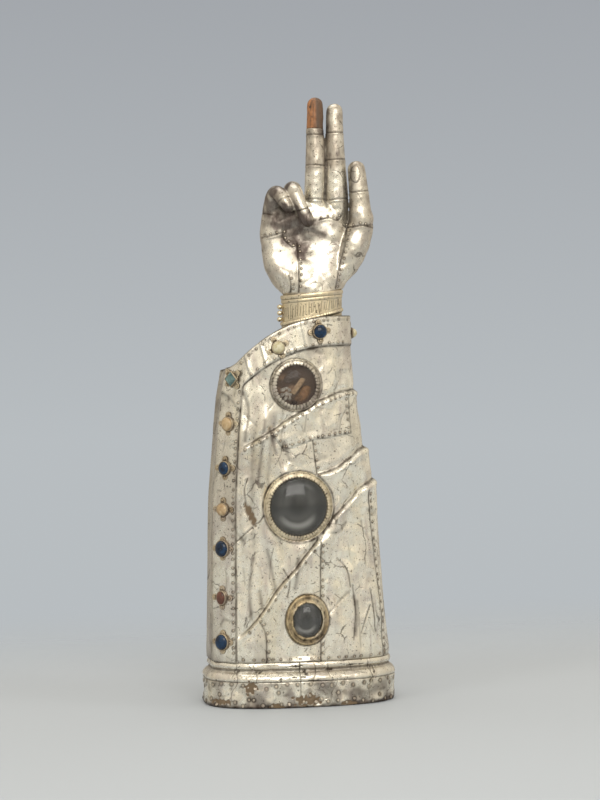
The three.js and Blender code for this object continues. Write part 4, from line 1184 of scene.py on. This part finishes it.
def setting_piece(name, seat, half_x, half_z, lean, square):
    turn = np.linspace(0, 2 * np.pi, 144, endpoint=False)
    lobe = 3.25
    centre = plate_reach + 1.4 - lobe
    folded = (turn - lean + np.pi / 4) % (np.pi / 2) - np.pi / 4
    base = np.hypot((half_x + 1.4) * np.cos(turn), (half_z + 1.4) * np.sin(turn))
    inside = np.clip(lobe**2 - (centre * np.sin(folded)) ** 2, 0, None)
    lobes = np.where(inside > 0, centre * np.cos(folded) + np.sqrt(inside), 0)
    outline = np.maximum(base, lobes)
    rows, marks = [], []
    plate_rows = [(0.5, -0.4, 0.3), (1.0, -0.4, 1.0), (1.0, 0.3, 1.0), (0.985, plate_thickness * 0.85, 0.5),
                  (0.95, plate_thickness, 0.1), (0.84, plate_thickness, 0.15), (0.76, plate_thickness, 0.5)]
    for share, height, dark in plate_rows:
        a, b = outline * share * np.cos(turn), outline * share * np.sin(turn)
        rows.append(on_seat(seat, a, b, height + 0 * turn))
        marks.append(np.full(len(turn), dark))
    serration = 0.12 * np.abs(np.sin(turn * 16))
    bezel_top = bezel_height + plate_thickness
    bezel_rows = [(1.3, plate_thickness, 1.0), (1.1, plate_thickness + 0.4, 0.8), (0.85, 2.0, 0.6),
                  (0.7, bezel_top - 0.3, 0.35), (0.3, bezel_top, 0.2), (-0.1, bezel_top - 0.3, 0.6),
                  (-0.5, 1.6, 0.95)]
    for grow, height, dark in bezel_rows:
        a, b = stone_outline(turn, half_x + grow, half_z + grow, square)
        flat_lift = height - serration * (height > 3) + seat[4] * a**2 * (height > 1.5)
        rows.append(on_seat(seat, a, b, flat_lift))
        marks.append(np.full(len(turn), dark))
    points, faces = skin(np.array(rows))
    marks = {"grime_and_shade": np.append(np.array(marks).ravel(), [0.8, 0.8])}
    return make_piece(f"mount_{name}", points, faces, mount_gilt, [f"setting_{name}"], marks)


def stone_piece(name, seat, half_x, half_z, slot, square=False):
    turn = np.linspace(0, 2 * np.pi, 64, endpoint=False)
    c, s = stone_outline(turn, 1, 1, square)
    girdle = plate_thickness + bezel_height - 0.5
    dome = min(half_x, half_z) * (1.0 if name == "hem_end" else (0.5 if square else 0.62))
    a = half_x * 0.9 * c
    rows = [on_seat(seat, a, half_z * 0.9 * s, girdle - 1 + seat[4] * a**2)]
    for lift in np.linspace(0, 0.96, 14) * np.pi / 2:
        across, rise = (np.cos(lift), np.sin(lift))
        if square:
            across, rise = 1 - 0.42 * min(lift / 0.5, 1), min(lift / 0.5, 1)
            across *= 1 - 0.96 * smooth(0.55, 1.5, lift)
        a, b = half_x * c * across, half_z * s * across
        rows.append(on_seat(seat, a, b, girdle + dome * rise + seat[4] * a**2))
    points, faces = skin(np.array(rows))
    make_piece(f"gem_{name}", points, faces, stone_materials[slot], [f"stone_{name}"])


mount_leans = {"hem_1": 0.12, "hem_2": 0.5, "hem_3": 0.72}
hem_mount_lift = 0.7
rivet_places, rivet_outs = [], []
for name, side, share, face, half_x, half_z, slot in set_stones:
    seat = seat_frame(side, share, face)
    lean = mount_leans.get(name, 0.0)
    if name in mount_leans:
        seat = (seat[0] + hem_mount_lift * seat[3], *seat[1:])
    setting_piece(name, seat, half_x, half_z, lean, name == "hem_3")
    stone_piece(name, seat, half_x, half_z, slot, square=name == "hem_3")
    for quarter in range(4):
        a, b = 9.3 * np.cos(lean + quarter * np.pi / 2), 9.3 * np.sin(lean + quarter * np.pi / 2)
        rivet_places.append(on_seat(seat, np.array(a), np.array(b), np.array(plate_thickness)))
        rivet_outs.append(seat[3] + 2 * seat[4] * a * seat[1])
nail_rows("setting_rivets", rivet_places, rivet_outs, 1.1, small_head, 61, "gilding", mount_gilt)


# Wrist band
# A gilded band round the wrist with a fillet at each edge. Its inscription is replaced by
# a row of shallow engraved strokes. Three ball buttons stand beside it.
wrist_x = 13.2
wrist_width, wrist_depth = 58.0, 44.0
clearance = 0.3
band_wall, band_fillet, fillet_height, band_rise = 1.6, 1.3, 4.6, 24.0


def band_top(x):
    return mouth_top + band_rise + 0.1 * (x - wrist_x)


def band_foot(x):
    return mouth_top - 3 + 0.24 * (x - wrist_x)


def wrist_band():
    turn = np.linspace(0, 2 * np.pi, 420, endpoint=False)
    wall = band_wall + clearance
    rng = np.random.default_rng(71)
    base_x, _ = oval(turn, wrist_width / 2 + wall, wrist_depth / 2 + wall, 2.4)
    foot, top = band_foot(base_x + wrist_x), band_top(base_x + wrist_x)
    hidden = mouth_floor(base_x + wrist_x, wrist_depth / 2 * np.sin(turn)) + 0.8
    x_at, y_at = oval(turn, wrist_width / 2, wrist_depth / 2, 2.4)
    length = np.concatenate([[0], np.cumsum(np.hypot(np.diff(x_at), np.diff(y_at)))])
    strokes = np.cumsum(rng.uniform(1.7, 3.3, 68))
    leans = rng.normal(0, 0.14, 68)
    lows, highs = rng.uniform(0.02, 0.22, 68), rng.uniform(0.72, 0.98, 68)
    rows, marks = [], []

    def add_row(z, thickness, dark=0.1):
        x, y = oval(turn, wrist_width / 2 + 1, wrist_depth / 2 + 1, 2.4)
        reach = np.hypot(x, y)
        grow = (reach + np.asarray(thickness) - 1) / reach
        rows.append(np.stack([x * grow + wrist_x, y * grow, z + 0 * x], -1))
        marks.append(np.zeros(turn.shape) + dark)

    add_row(hidden, wall, 0.6)
    for t in np.linspace(0.1, 1, 5):
        add_row(hidden + (foot - 0.6 - hidden) * t, wall, 0.6 - 0.3 * t)
    for t in np.linspace(0, 1, 9):
        swell = np.sin(np.pi * min(max(t, 0.0), 1.0)) ** 0.6 * band_fillet
        bead = 0.22 * np.cos(length[-1] / 2.2 * turn) * (0.2 < t < 0.8)
        add_row(foot + fillet_height * t, wall + swell + bead, 0.7 if t in (0, 1) else 0.12)
    field_low = foot + fillet_height + 0.4
    field_high = top - fillet_height * 1.85
    for t in np.linspace(0, 1, 30):
        cut = np.zeros(turn.shape)
        for at, lean, low, high in zip(strokes, leans, lows, highs):
            off = length - at - lean * (t - 0.5) * 9
            cut += hump(off, 0.4) * (low < t < high)
        cut = np.clip(cut, 0, 1) * smooth(0.0, 0.06, t) * smooth(1.0, 0.94, t)
        add_row(field_low + (field_high - field_low) * t, wall - 0.3 * cut, 0.12 + 0.75 * cut)
    for t in np.linspace(0, 1, 8):
        swell = 0.7 * np.sin(np.pi * t) ** 0.5
        add_row(field_high + 0.4 + (fillet_height * 0.8) * t, wall + swell, 0.6 if t in (0, 1) else 0.12)
    start = field_high + 0.5 + fillet_height * 0.8
    for t in np.linspace(0, 1, 9):
        swell = band_fillet * np.sin(np.pi * (0.1 + 0.75 * t)) ** 0.6
        add_row(start + (top - start) * t, wall + swell, 0.6 if t == 0 else 0.1)
    add_row(top, wall - 0.9, 0.3)
    add_row(top - 1.5, clearance + 0.1, 0.8)
    add_row(hidden + 0.5, clearance + 0.1, 0.8)
    points, faces = skin(np.array(rows), loop=True)
    make_piece("wrist_band_gilt", points, faces, gilt, ["wrist_band"],
               {"grime_and_shade": np.clip(np.array(marks), 0, 1)})


wrist_band()


def buttons():
    size = 5.2
    turn = np.linspace(0, 2 * np.pi, 40, endpoint=False)
    x = wrist_x - wrist_width / 2 - band_wall - 2 * clearance - size / 2
    lowest = band_foot(x) + fillet_height + size * 0.6
    highest = band_top(x) - fillet_height * 1.8 - size * 0.6
    for i in range(3):
        z = lowest + (highest - lowest) * i / 2
        rows = []
        for lift in np.linspace(-0.95, 0.95, 22) * np.pi / 2:
            radius = size / 2 * np.cos(lift) * (1 + 0.05 * np.cos(turn * 6))
            stem = np.where(np.cos(turn) > 0.9, 1.2, 0.0) * smooth(0.6, 0.2, abs(lift))
            rows.append(np.stack([x + (radius + stem) * np.cos(turn), radius * np.sin(turn),
                                  z + size / 2 * np.sin(lift) + 0 * turn], -1))
        points, faces = skin(np.array(rows))
        make_piece(f"ball_button_{i + 1}", points, faces, gilt, [f"cuff_button_{i + 1}"])


buttons()


# Hand
# Silver sheets beaten over a carved wooden hand and nailed: a palm of several sheets, and
# sleeves of sheet on the fingers that overlap at their joints.
hand_length = 224.0
hand_x = wrist_x + 1.6
palm_stations = np.array([
    [0.129, -0.017, 0.154, 0.097], [0.165, -0.02, 0.176, 0.094], [0.21, -0.023, 0.199, 0.089],
    [0.263, -0.026, 0.212, 0.083], [0.33, -0.03, 0.215, 0.077], [0.397, -0.035, 0.213, 0.07],
    [0.455, -0.037, 0.206, 0.063], [0.5, -0.03, 0.186, 0.05], [0.52, -0.025, 0.165, 0.032]])


def palm_mesh():
    turn = np.linspace(0, 2 * np.pi, 96, endpoint=False)
    start = (wrist_width / 2, wrist_depth / 2)
    rows = []
    x, y = oval(turn, *start, 2.4)
    x = x + wrist_x
    rows.append(np.stack([x, y, mouth_floor(x, y) + 1], -1))
    rows.append(np.stack([x, y, band_top(x) + 0.3], -1))
    shares = np.linspace(palm_stations[0, 0], palm_stations[-1, 0], 40)
    sideways, half_x, half_y = (curve(palm_stations[:, [0, k]]) for k in (1, 2, 3))
    for share in shares:
        x, y = oval(turn, half_x(share) * hand_length, half_y(share) * hand_length, 2.3)
        x = x + hand_x + sideways(share) * hand_length
        z = mouth_top + share * hand_length
        across = ((x - hand_x) / hand_length + 0.085) / 0.12
        along_palm = (share - 0.36) / 0.1
        y = y + (y < 0) * 0.032 * hand_length * np.exp(-across**2 - along_palm**2)
        rows.append(np.stack([x, y, z + 0 * x], -1))
    return skin(np.array(rows))


def finger_mesh(stations, round_end=True):
    stations = np.array(stations, float)
    knots = np.linspace(0, 1, len(stations))
    line = [curve(np.stack([knots, stations[:, k]], -1)) for k in range(5)]
    turn = np.linspace(0, 2 * np.pi, 36, endpoint=False)
    rows = []

    def ring(t, push, scale):
        centre = np.array([line[k](t) for k in range(3)])
        ahead = np.array([line[k](min(t + 0.01, 1)) - line[k](max(t - 0.01, 0)) for k in range(3)])
        ahead /= np.linalg.norm(ahead)
        across = np.array([1.0, 0, 0]) - ahead * ahead[0]
        across /= np.linalg.norm(across)
        back = np.cross(ahead, across)
        half_w, half_d = line[3](t) * scale, line[4](t) * scale
        points = (centre + ahead * push * line[4](t) + np.cos(turn)[:, None] * across * half_w
                  + np.sin(turn)[:, None] * back * half_d)
        return points * hand_length + (hand_x, 0, mouth_top)

    for t in np.linspace(0, 1, 46):
        rows.append(ring(t, 0, 1))
    if round_end:
        for lift in np.linspace(0.12, 0.94, 9) * np.pi / 2:
            rows.append(ring(1.0, np.sin(lift), np.cos(lift)))
    return skin(np.array(rows))


bare_tip = 32.0 / hand_length
finger_stations = {
    "middle": [[0.003, 0.005, 0.4, 0.047, 0.043], [0.004, -0.003, 0.53, 0.047, 0.043],
               [0.008, -0.009, 0.69, 0.046, 0.041], [0.005, -0.01, 1 - bare_tip, 0.04, 0.037]],
    "index": [[0.107, 0, 0.4, 0.056, 0.046], [0.107, -0.009, 0.54, 0.056, 0.043],
              [0.101, -0.013, 0.715, 0.046, 0.041], [0.097, -0.013, 0.84, 0.041, 0.038],
              [0.097, -0.011, 0.938, 0.038, 0.035]],
    "thumb": [[0.09, -0.02, 0.175, 0.05, 0.05], [0.139, -0.03, 0.232, 0.063, 0.06],
              [0.184, -0.04, 0.321, 0.068, 0.062], [0.213, -0.048, 0.42, 0.057, 0.053],
              [0.206, -0.054, 0.51, 0.049, 0.045], [0.201, -0.056, 0.571, 0.045, 0.042],
              [0.19, -0.054, 0.672, 0.04, 0.038]],
    "ring": [[-0.093, 0.01, 0.4, 0.044, 0.041], [-0.103, -0.003, 0.49, 0.043, 0.041],
             [-0.107, -0.03, 0.568, 0.042, 0.04], [-0.108, -0.085, 0.562, 0.036, 0.034],
             [-0.085, -0.118, 0.49, 0.03, 0.03], [-0.06, -0.128, 0.43, 0.028, 0.028]],
    "little": [[-0.195, 0.012, 0.38, 0.042, 0.04], [-0.198, 0.005, 0.46, 0.042, 0.04],
               [-0.185, -0.022, 0.548, 0.04, 0.038], [-0.172, -0.075, 0.548, 0.033, 0.031],
               [-0.142, -0.105, 0.49, 0.029, 0.029]],
}


def hand_form():
    all_points, all_faces = [], []
    start = 0
    parts = [palm_mesh()]
    parts += [finger_mesh(stations, name != "middle") for name, stations in finger_stations.items()]
    for points, faces in parts:
        all_points.append(points)
        all_faces += [tuple(int(i) + start for i in face) for face in faces]
        start += len(points)
    mesh = bpy.data.meshes.new("hand_form")
    mesh.from_pydata((np.vstack(all_points) * 0.001).tolist(), [], all_faces)
    form = bpy.data.objects.new("hand_form", mesh)
    bpy.context.scene.collection.objects.link(form)
    remesh = form.modifiers.new("join", "REMESH")
    remesh.mode = "VOXEL"
    remesh.voxel_size = 0.0009
    soften = form.modifiers.new("soften", "SMOOTH")
    soften.factor = 0.5
    soften.iterations = 6
    made = bpy.data.meshes.new_from_object(form.evaluated_get(bpy.context.evaluated_depsgraph_get()))
    bpy.data.objects.remove(form)
    points = np.zeros(len(made.vertices) * 3)
    made.vertices.foreach_get("co", points)
    outs = np.zeros(len(made.vertices) * 3)
    made.vertices.foreach_get("normal", outs)
    faces = [tuple(face.vertices) for face in made.polygons]
    bpy.data.meshes.remove(made)
    return points.reshape(-1, 3) * 1000, outs.reshape(-1, 3), faces


# Joints where one sheet sleeve overlaps the next: middle, way along the finger, reach
joints = [((14.8, -1, 515.6), (0.0, 0, 1), 15), ((16, -2, 550.4), (0.02, 0, 1), 14),
          ((15.5, -2, 581.5), (0, 0, 1), 13), ((41, -2, 516), (-0.1, 0, 1), 15),
          ((38.4, -3, 556.6), (-0.06, 0, 1), 14), ((36.7, -3, 584), (-0.02, 0, 1), 13),
          ((60.2, -13, 523.5), (-0.12, 0, 1), 15), ((62.5, -11, 488.5), (-0.1, 0, 1), 17),
          ((-3.5, -27.5, 503.5), (0.3, 0, -1), 10), ((-36, 2, 500), (0.2, 0, 1), 13),
          ((-20, -20, 513), (0.4, -0.5, -1), 9)]
palm_seams = [smooth_line(line) for line in (
    [(47.5, 488), (43.5, 468), (38.5, 449), (33.5, 425)], [(-4.5, 470), (-4.8, 445), (-5, 420)],
    [(-15, 437), (-13, 428), (-12.5, 420)], [(-40, 476), (-32, 477), (-20, 481)],
    [(18, 494), (29, 496.5), (38, 494), (44, 501)], [(44, 489), (52, 487), (60, 488.5), (75, 486)],
    [(-20, 484), (-18, 474), (-10, 466)])]


def hand_nails(points, outs):
    rng = np.random.default_rng(85)
    spots = np.concatenate([along(line, 6.0, 2.2, rng) for line in palm_seams])
    front = outs[:, 1] < -0.3
    places, ways = [], []
    for x, z in spots:
        off = np.hypot(points[:, 0] - x, points[:, 2] - z) + 50 * ~front
        nearest = int(np.argmin(off))
        if off[nearest] < 2:
            places.append(points[nearest])
            ways.append(outs[nearest])
    return places, ways


def dress_hand():
    points, outs, faces = hand_form()
    x, y, z = points.T
    shift = np.zeros(len(points))
    grime_and_shade = np.zeros(len(points))
    for centre, way, reach in joints:
        centre, way = np.array(centre), np.array(way) / np.linalg.norm(way)
        off = points - centre
        along_way = off @ way
        radial = np.linalg.norm(off - along_way[:, None] * way, axis=1)
        inside = smooth(reach, reach - 2.5, radial)
        shift += inside * (0.3 * hump(along_way + 1.3, 1.2) - 0.45 * hump(along_way, 0.6))
        grime_and_shade += 0.95 * inside * hump(along_way, 0.8)
    facing = smooth(0.1, 0.4, -outs[:, 1])
    for line in palm_seams:
        distance, hand = from_line(x, z, line)
        shift += facing * (-0.4 * hump(distance, 0.6) + 0.3 * smooth(4, 0, distance) * (hand < 0))
        grime_and_shade += 1.0 * facing * hump(distance, 0.85)
    palm = smooth(512, 500, z)
    shift += (0.55 * ripple(points, 34, 81) + 0.3 * creases(points, 24, 82)) * palm
    shift += 0.05 * ripple(points, 8, 83)
    shift += 0.6 * crumple(points, 13, 80) * (0.4 + 0.6 * smooth(-0.3, 0.8, ripple(points, 40, 79)))
    nail_off = points - (54.5, -21, 541)
    nail = np.hypot(nail_off[:, 0] / 4.6, nail_off[:, 2] / 8.5)
    on_thumb = (outs[:, 1] < -0.2) * (x < 62)
    shift += on_thumb * (0.5 * smooth(1.02, 0.94, nail) - 0.3 * hump(nail - 1.04, 0.06))
    grime_and_shade += 0.6 * on_thumb * hump(nail - 1.03, 0.06)
    back_nail = np.hypot((x - 36.6) / 5.6, (z - 603) / 8.0)
    behind = outs[:, 1] > 0.2
    shift += behind * (0.45 * smooth(1.02, 0.94, back_nail) - 0.3 * hump(back_nail - 1.04, 0.07))
    grime_and_shade += 0.6 * behind * hump(back_nail - 1.03, 0.07)
    places, _ = hand_nails(points, outs)
    grime_and_shade = np.maximum(grime_and_shade, 0.9 * halos(points, places, 1.35))
    cloudy = 1 + 0.25 * ripple(points, 12, 84)
    front = smooth(0.25, -0.1, outs[:, 1])
    # Dark smudges in the palm's hollow and under the curled fingers are painted shade
    smoke_and_shade = 1.25 * hump(np.hypot((x - 1 + 0.4 * (z - 486)) / 25, (z - 486) / 13), 1.1) * front
    for dark, at_x, at_z, half_x, half_z in ((1.2, -2, 464, 9, 15), (1.3, -24, 499, 13, 10),
                                             (0.75, -16, 474, 10, 10)):
        smoke_and_shade += dark * hump(np.hypot((x - at_x) / half_x, (z - at_z) / half_z), 1) * front
    # The curled fingers darken where they tuck back towards the palm: painted shade
    curled = smooth(2, -6, x) * smooth(498, 508, z)
    smoke_and_shade += 0.7 * curled * smooth(-26, -16, y) + 0.08 * curled
    fingers = smooth(512, 545, z)
    smoke_and_shade += 0.04 * fingers + 0.22 * fingers * smooth(0.2, 1.3, ripple(points * (1, 1, 0.25), 9, 87))
    smoke_and_shade += 0.35 * hump(z - 584, 7) * (x < 26) + 0.13
    smoke_and_shade += 0.12 * smooth(-0.6, 1.2, ripple(points * (1, 1, 0.5), 26, 89))
    # Surfaces that face sideways are darker: painted shade
    smoke_and_shade += 0.12 * smooth(0.35, 0.95, np.abs(outs[:, 0]))
    shown = smooth(0.2, 1.0, 0.6 + 0.5 * ripple(points * (1, 1, 0.4), 22, 88))
    dull_and_shade = (0.15 + 0.6 * smooth(538, 552, z)) * fingers * (0.5 + 0.5 * shown)
    dull_and_shade += 0.35 * smooth(44, 60, x) * (z > 485)
    # Sideways-facing parts below the fingers, and the curled fingers, are made duller and browner as
    # painted shade
    dull_and_shade += 0.35 * smooth(0.3, 0.9, np.abs(outs[:, 0])) * (z < 520) + 0.1 * curled
    ring_nail = np.hypot((x - 4.5) / 5.0, (z - 494) / 6.5)
    on_nail = (outs[:, 1] < -0.2) * (y < -22)
    shift += on_nail * (0.35 * smooth(1.02, 0.9, ring_nail) - 0.25 * hump(ring_nail - 1.05, 0.08))
    grime_and_shade += 0.55 * on_nail * hump(ring_nail - 1.04, 0.09)
    # Painted shade down the gaps between the fingers
    for valley_x, low, high, reach in ((26.6, 508, 612, 1.6), (50.3, 492, 552, 1.8)):
        grime_and_shade += 0.9 * hump(x - valley_x, reach) * smooth(low - 4, low, z) * smooth(high, high - 6, z)
    # Painted shade on the palm under the curled ring finger
    grime_and_shade += 0.5 * hump(np.hypot((x + 24) / 8, (z - 500) / 6), 1) * (y < -4)
    made = points + outs * shift[:, None]
    marks = {"grime_and_shade": np.clip(grime_and_shade, 0, 1), "bare": np.zeros(len(points)),
             "smoke_and_shade": np.clip(smoke_and_shade * cloudy, 0, 1), "dull_and_shade": np.clip(dull_and_shade, 0, 1)}
    make_piece("hand_sheet", made, faces, silver, ["hand"], marks)
    return made, outs


nail_rows("hand_nails", *hand_nails(*dress_hand()), 0.95, small_head, 86)


# Bare fingertip
# The silver is lost from the end of the middle finger, and the carved wooden core shows:
# orange-brown, streaked along the grain, with a rounded, worn top.
wood_material, tree, wood_shader = new_material("bare_wood")
place = add_node(tree, "ShaderNodeTexCoord")
stretch_grain = add_node(tree, "ShaderNodeMapping")
stretch_grain.inputs["Scale"].default_value = (420, 420, 45)
link(tree, place.outputs["Object"], stretch_grain.inputs["Vector"])
grain = add_node(tree, "ShaderNodeTexNoise", scale=1.0, detail=5.0, roughness=0.65)
link(tree, stretch_grain.outputs["Vector"], grain.inputs["Vector"])
wood_color = mix_colors(tree, range_node(tree, grain.outputs["Fac"], 0.35, 0.66), (0.12, 0.06, 0.03, 1),
                        (0.4, 0.165, 0.06, 1))
split = add_node(tree, "ShaderNodeSeparateXYZ")
link(tree, place.outputs["Object"], split.inputs[0])
# The right half of the tip is darker: painted shade
shaded_side = range_node(tree, split.outputs["X"], 0.0135, 0.0165, 0, 0.85, smooth_ends=True)
wood_color = mix_colors(tree, shaded_side, wood_color, (0.075, 0.048, 0.03, 1))
knot = range_node(tree, noise(tree, place, 260, 2, 0.5), 0.62, 0.7, 0, 0.8)
link(tree, mix_colors(tree, knot, wood_color, (0.04, 0.025, 0.015, 1)), wood_shader.inputs["Base Color"])
wood_shader.inputs["Roughness"].default_value = 0.55
wood_bump = add_node(tree, "ShaderNodeBump")
wood_bump.inputs["Strength"].default_value = 0.5
wood_bump.inputs["Distance"].default_value = 0.0005
link(tree, grain.outputs["Fac"], wood_bump.inputs["Height"])
link(tree, wood_bump.outputs["Normal"], wood_shader.inputs["Normal"])

tip_foot = 1 - bare_tip
points, faces = finger_mesh([[0.005, -0.01, tip_foot, 0.0375, 0.035],
                             [0.006, -0.01, tip_foot + 0.057, 0.038, 0.0355],
                             [0.006, -0.01, 1 - 0.036, 0.036, 0.0345]])
make_piece("wooden_tip", points + 0.12 * ripple(points, 9, 91)[:, None], faces, wood_material,
           ["bare_fingertip"])
